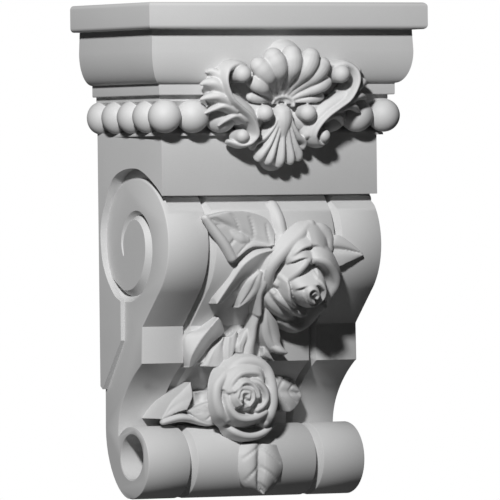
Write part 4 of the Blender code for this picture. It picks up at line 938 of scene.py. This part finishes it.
def crest_height(spread, rise, crest, inner, outer, rim):
    """The height over a grid of a petal whose rounded rim follows the crest, a line of (right, up, height).

    Right of the line's direction the petal falls into its hollow, given as the hollow's depth and reach. Left
    of it the petal falls down its back, given as a slope and a reach, and then steeply, as it does past its
    ends.
    """
    best = np.full(spread.shape, np.inf)
    level = np.zeros(spread.shape)
    inside = np.zeros(spread.shape, bool)
    beyond = np.zeros(spread.shape, bool)
    line = smooth(crest, CREST_STEPS)
    last = len(line) - 2
    for k, ((ax, ay, ah), (bx, by, bh)) in enumerate(zip(line[:-1], line[1:])):
        dx, dy = bx - ax, by - ay
        free = ((spread - ax) * dx + (rise - ay) * dy) / (dx * dx + dy * dy)
        t = np.clip(free, 0, 1)
        px, py = spread - (ax + dx * t), rise - (ay + dy * t)
        distance = np.hypot(px, py)
        nearer = distance < best
        past = np.zeros(spread.shape, bool)
        if k == 0:
            past |= free < 0
        if k == last:
            past |= free > 1
        best = np.where(nearer, distance, best)
        level = np.where(nearer, ah + (bh - ah) * t, level)
        inside = np.where(nearer, (dx * py - dy * px < 0) & ~past, inside)
        beyond = np.where(nearer, past, beyond)
    over = np.clip(best - rim, 0, None)
    top = level - rim + np.sqrt(np.clip(rim * rim - np.minimum(best, rim) ** 2, 0, None))
    depth, reach = inner
    bowl = top - depth * (1 - np.exp(-over * HOLLOW_SLOPE / depth)) - np.clip(best - reach, 0, None) * STEEP
    slope, back = outer
    behind = top - np.minimum(over, back) * slope - np.clip(over - back, 0, None) * STEEP
    return np.where(beyond, top - over * STEEP, np.where(inside, bowl, behind))


def relief(name, where, size, back, petals, collection):
    """A closed solid that follows the highest of its petals, and whose back is hollowed towards the left."""
    middle, axis, right, up = where
    floor, undercut = back
    count = (int(size[0] / ROSE_STEP), int(size[1] / ROSE_STEP))
    spread, rise = np.meshgrid(np.linspace(-size[0] / 2, size[0] / 2, count[0]),
                               np.linspace(-size[1] / 2, size[1] / 2, count[1]))
    under = floor + undercut * np.minimum(spread, 0) ** 2
    height = under.copy()
    for petal in petals:
        height = np.maximum(height, crest_height(spread, rise, *petal))
    kept = height > under + SKIN
    work = bmesh.new()
    tops, feet = {}, {}

    def corner(r, c):
        if (r, c) not in tops:
            spot = middle + right * spread[r, c] + up * rise[r, c]
            tops[r, c] = work.verts.new(to_world(spot + axis * height[r, c]))
            feet[r, c] = work.verts.new(to_world(spot + axis * (under[r, c] - ROSE_STEP)))
        return tops[r, c], feet[r, c]

    for r in range(count[1] - 1):
        for c in range(count[0] - 1):
            if not kept[r:r + 2, c:c + 2].any():
                continue
            ring = [corner(r, c), corner(r, c + 1), corner(r + 1, c + 1), corner(r + 1, c)]
            work.faces.new([pair[0] for pair in ring])
            work.faces.new([pair[1] for pair in ring[::-1]])
    work.edges.index_update()
    open_edges = [edge for edge in work.edges if len(edge.link_faces) == 1]
    foot_of = {tops[key]: feet[key] for key in tops}
    for edge in open_edges:
        a, b = edge.verts
        if a in foot_of and b in foot_of:
            work.faces.new([a, b, foot_of[b], foot_of[a]])
    bmesh.ops.recalc_face_normals(work, faces=work.faces)
    made = bpy.data.objects.new(name, mesh_from(work, name))
    collection.objects.link(made)
    return made


def lower_rose():
    """The open rose on the roll."""
    group = new_collection("lower rose")
    relief("rose relief", rose_frame(*LOWER_ROSE), LOWER_SIZE, LOWER_BACK, LOWER_PETALS, group)
    tube("rose root", LOWER_ROOT, group)
    return fused("lower_rose", list(group.objects))


def upper_rose():
    """The half-open rose that hangs off the volute."""
    group = new_collection("upper rose")
    relief("rose relief", rose_frame(*UPPER_ROSE), UPPER_SIZE, UPPER_BACK, UPPER_PETALS, group)
    tube("rose root", UPPER_ROOT, group)
    return fused("upper_rose", list(group.objects))


def leaves():
    """The stem with its leaves, down the front from the fascia to the roll."""
    group = new_collection("leaves")
    for name, sag, swell, crease, veins, lines in LEAVES:
        blade(name, lines, group, sag, swell, crease, veins)
    for name, path in STEMS:
        tube(name, path, group)
    return fused("leaves", list(group.objects), LEAVES_RATIO)


def cartouche():
    """The shell, the tongue that spreads below it and the leafy scrolls each side."""
    group = new_collection("cartouche")
    shell(group)
    for name, path in CARTOUCHE_PATHS:
        both_sides(name, path, group)
    return fused("shell_cartouche", list(group.objects))


# Finish

def primer():
    """Matte light grey primer: a fine orange-peel skin, faint mottling and a slightly uneven sheen."""
    material = bpy.data.materials.new("primed casting")
    material.use_nodes = True
    tree = material.node_tree
    shader = tree.nodes["Principled BSDF"]
    shader.inputs["Metallic"].default_value = 0.0
    place = tree.nodes.new("ShaderNodeTexCoord")

    def noise(scale, detail):
        node = tree.nodes.new("ShaderNodeTexNoise")
        node.inputs["Scale"].default_value = scale
        node.inputs["Detail"].default_value = detail
        tree.links.new(place.outputs["Object"], node.inputs["Vector"])
        return node.outputs["Fac"]

    def ramp(scale, detail, low, high):
        node = tree.nodes.new("ShaderNodeMapRange")
        node.inputs["From Min"].default_value = NOISE_LOW
        node.inputs["From Max"].default_value = NOISE_HIGH
        node.inputs["To Min"].default_value = low
        node.inputs["To Max"].default_value = high
        tree.links.new(noise(scale, detail), node.inputs["Value"])
        return node.outputs["Result"]

    shade = tree.nodes.new("ShaderNodeMath")
    shade.operation = "MULTIPLY"
    tree.links.new(ramp(*TONE_CLOUDS), shade.inputs[0])
    tree.links.new(ramp(*TONE_GRAIN), shade.inputs[1])
    tone = tree.nodes.new("ShaderNodeCombineColor")
    for channel in ("Red", "Green", "Blue"):
        tree.links.new(shade.outputs[0], tone.inputs[channel])
    tree.links.new(tone.outputs["Color"], shader.inputs["Base Color"])
    tree.links.new(ramp(*SHEEN_CLOUDS), shader.inputs["Roughness"])
    bump = tree.nodes.new("ShaderNodeBump")
    bump.inputs["Strength"].default_value = PEEL_STRENGTH
    bump.inputs["Distance"].default_value = PEEL_DEPTH * MM
    tree.links.new(noise(PEEL_SCALE, PEEL_DETAIL), bump.inputs["Height"])
    tree.links.new(bump.outputs["Normal"], shader.inputs["Normal"])
    return material


def floor_stage():
    """A round pale floor, far below the part, which hangs on its wall."""
    mesh = bpy.data.meshes.new("floor")
    work = bmesh.new()
    bmesh.ops.create_circle(work, cap_ends=True, segments=FLOOR_SEGMENTS, radius=FLOOR_RADIUS)
    work.to_mesh(mesh)
    work.free()
    made = bpy.data.objects.new("floor", mesh)
    made.location = (0, 0, FLOOR_Z)
    bpy.context.scene.collection.objects.link(made)
    material = bpy.data.materials.new("pale floor")
    material.use_nodes = True
    shader = material.node_tree.nodes["Principled BSDF"]
    shader.inputs["Base Color"].default_value = (FLOOR_GREY, FLOOR_GREY, FLOOR_GREY, 1)
    shader.inputs["Roughness"].default_value = FLOOR_ROUGHNESS
    mesh.materials.append(material)


def lights():
    """One soft round lamp, high on the left."""
    light = bpy.data.lights.new("key", "AREA")
    light.shape = "DISK"
    light.size = KEY_SIZE
    light.energy = KEY_POWER
    made = bpy.data.objects.new("key", light)
    direction = Vector(KEY_DIRECTION).normalized()
    made.location = direction * KEY_DISTANCE
    made.rotation_euler = direction.to_track_quat("Z", "Y").to_euler()
    bpy.context.scene.collection.objects.link(made)


def surroundings():
    """A white room that is seen as white but lights the object only faintly."""
    world = bpy.data.worlds.new("room")
    bpy.context.scene.world = world
    world.use_nodes = True
    tree = world.node_tree
    dim = tree.nodes["Background"]
    dim.inputs["Color"].default_value = (1, 1, 1, 1)
    dim.inputs["Strength"].default_value = ROOM_LIGHT
    seen = tree.nodes.new("ShaderNodeBackground")
    seen.inputs["Color"].default_value = (1, 1, 1, 1)
    seen.inputs["Strength"].default_value = 1.0
    path = tree.nodes.new("ShaderNodeLightPath")
    mix = tree.nodes.new("ShaderNodeMixShader")
    tree.links.new(path.outputs["Is Camera Ray"], mix.inputs["Fac"])
    tree.links.new(dim.outputs["Background"], mix.inputs[1])
    tree.links.new(seen.outputs["Background"], mix.inputs[2])
    tree.links.new(mix.outputs["Shader"], tree.nodes["World Output"].inputs["Surface"])
    bpy.context.scene.view_settings.view_transform = "Standard"


def camera():
    """The photograph's camera, to the left of the part's front and rolled a little."""
    yaw, pitch, roll = (math.radians(a) for a in (CAMERA_YAW, CAMERA_PITCH, CAMERA_ROLL))
    level = Vector((math.cos(yaw), -math.sin(yaw), 0))
    towards = Vector((-math.sin(yaw), -math.cos(yaw), 0))
    back = towards * math.cos(pitch) + Vector((0, 0, math.sin(pitch)))
    upright = Vector((0, 0, math.cos(pitch))) - towards * math.sin(pitch)
    right = level * math.cos(roll) - upright * math.sin(roll)
    up = level * math.sin(roll) + upright * math.cos(roll)
    lens = bpy.data.cameras.new("camera")
    lens.lens = CAMERA_LENS
    lens.sensor_width = SENSOR_WIDTH
    lens.clip_end = CAMERA_REACH
    made = bpy.data.objects.new("camera", lens)
    made.matrix_world = Matrix((right, up, back)).transposed().to_4x4()
    made.location = (level * CAMERA_RIGHT + upright * CAMERA_UP + back * CAMERA_DISTANCE) * MM
    bpy.context.scene.collection.objects.link(made)
    bpy.context.scene.camera = made


def main():
    camera()
    surroundings()
    lights()
    floor_stage()
    body = new_collection("body")
    pieces = [mouldings(body), beads(body), bracket(), cartouche(), upper_rose(), lower_rose(), leaves()]
    finish = primer()
    for piece in pieces:
        trim_at_wall(piece)
        piece.data.materials.clear()
        piece.data.materials.append(finish)
        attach(piece, "root")
        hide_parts("corbel")


main()
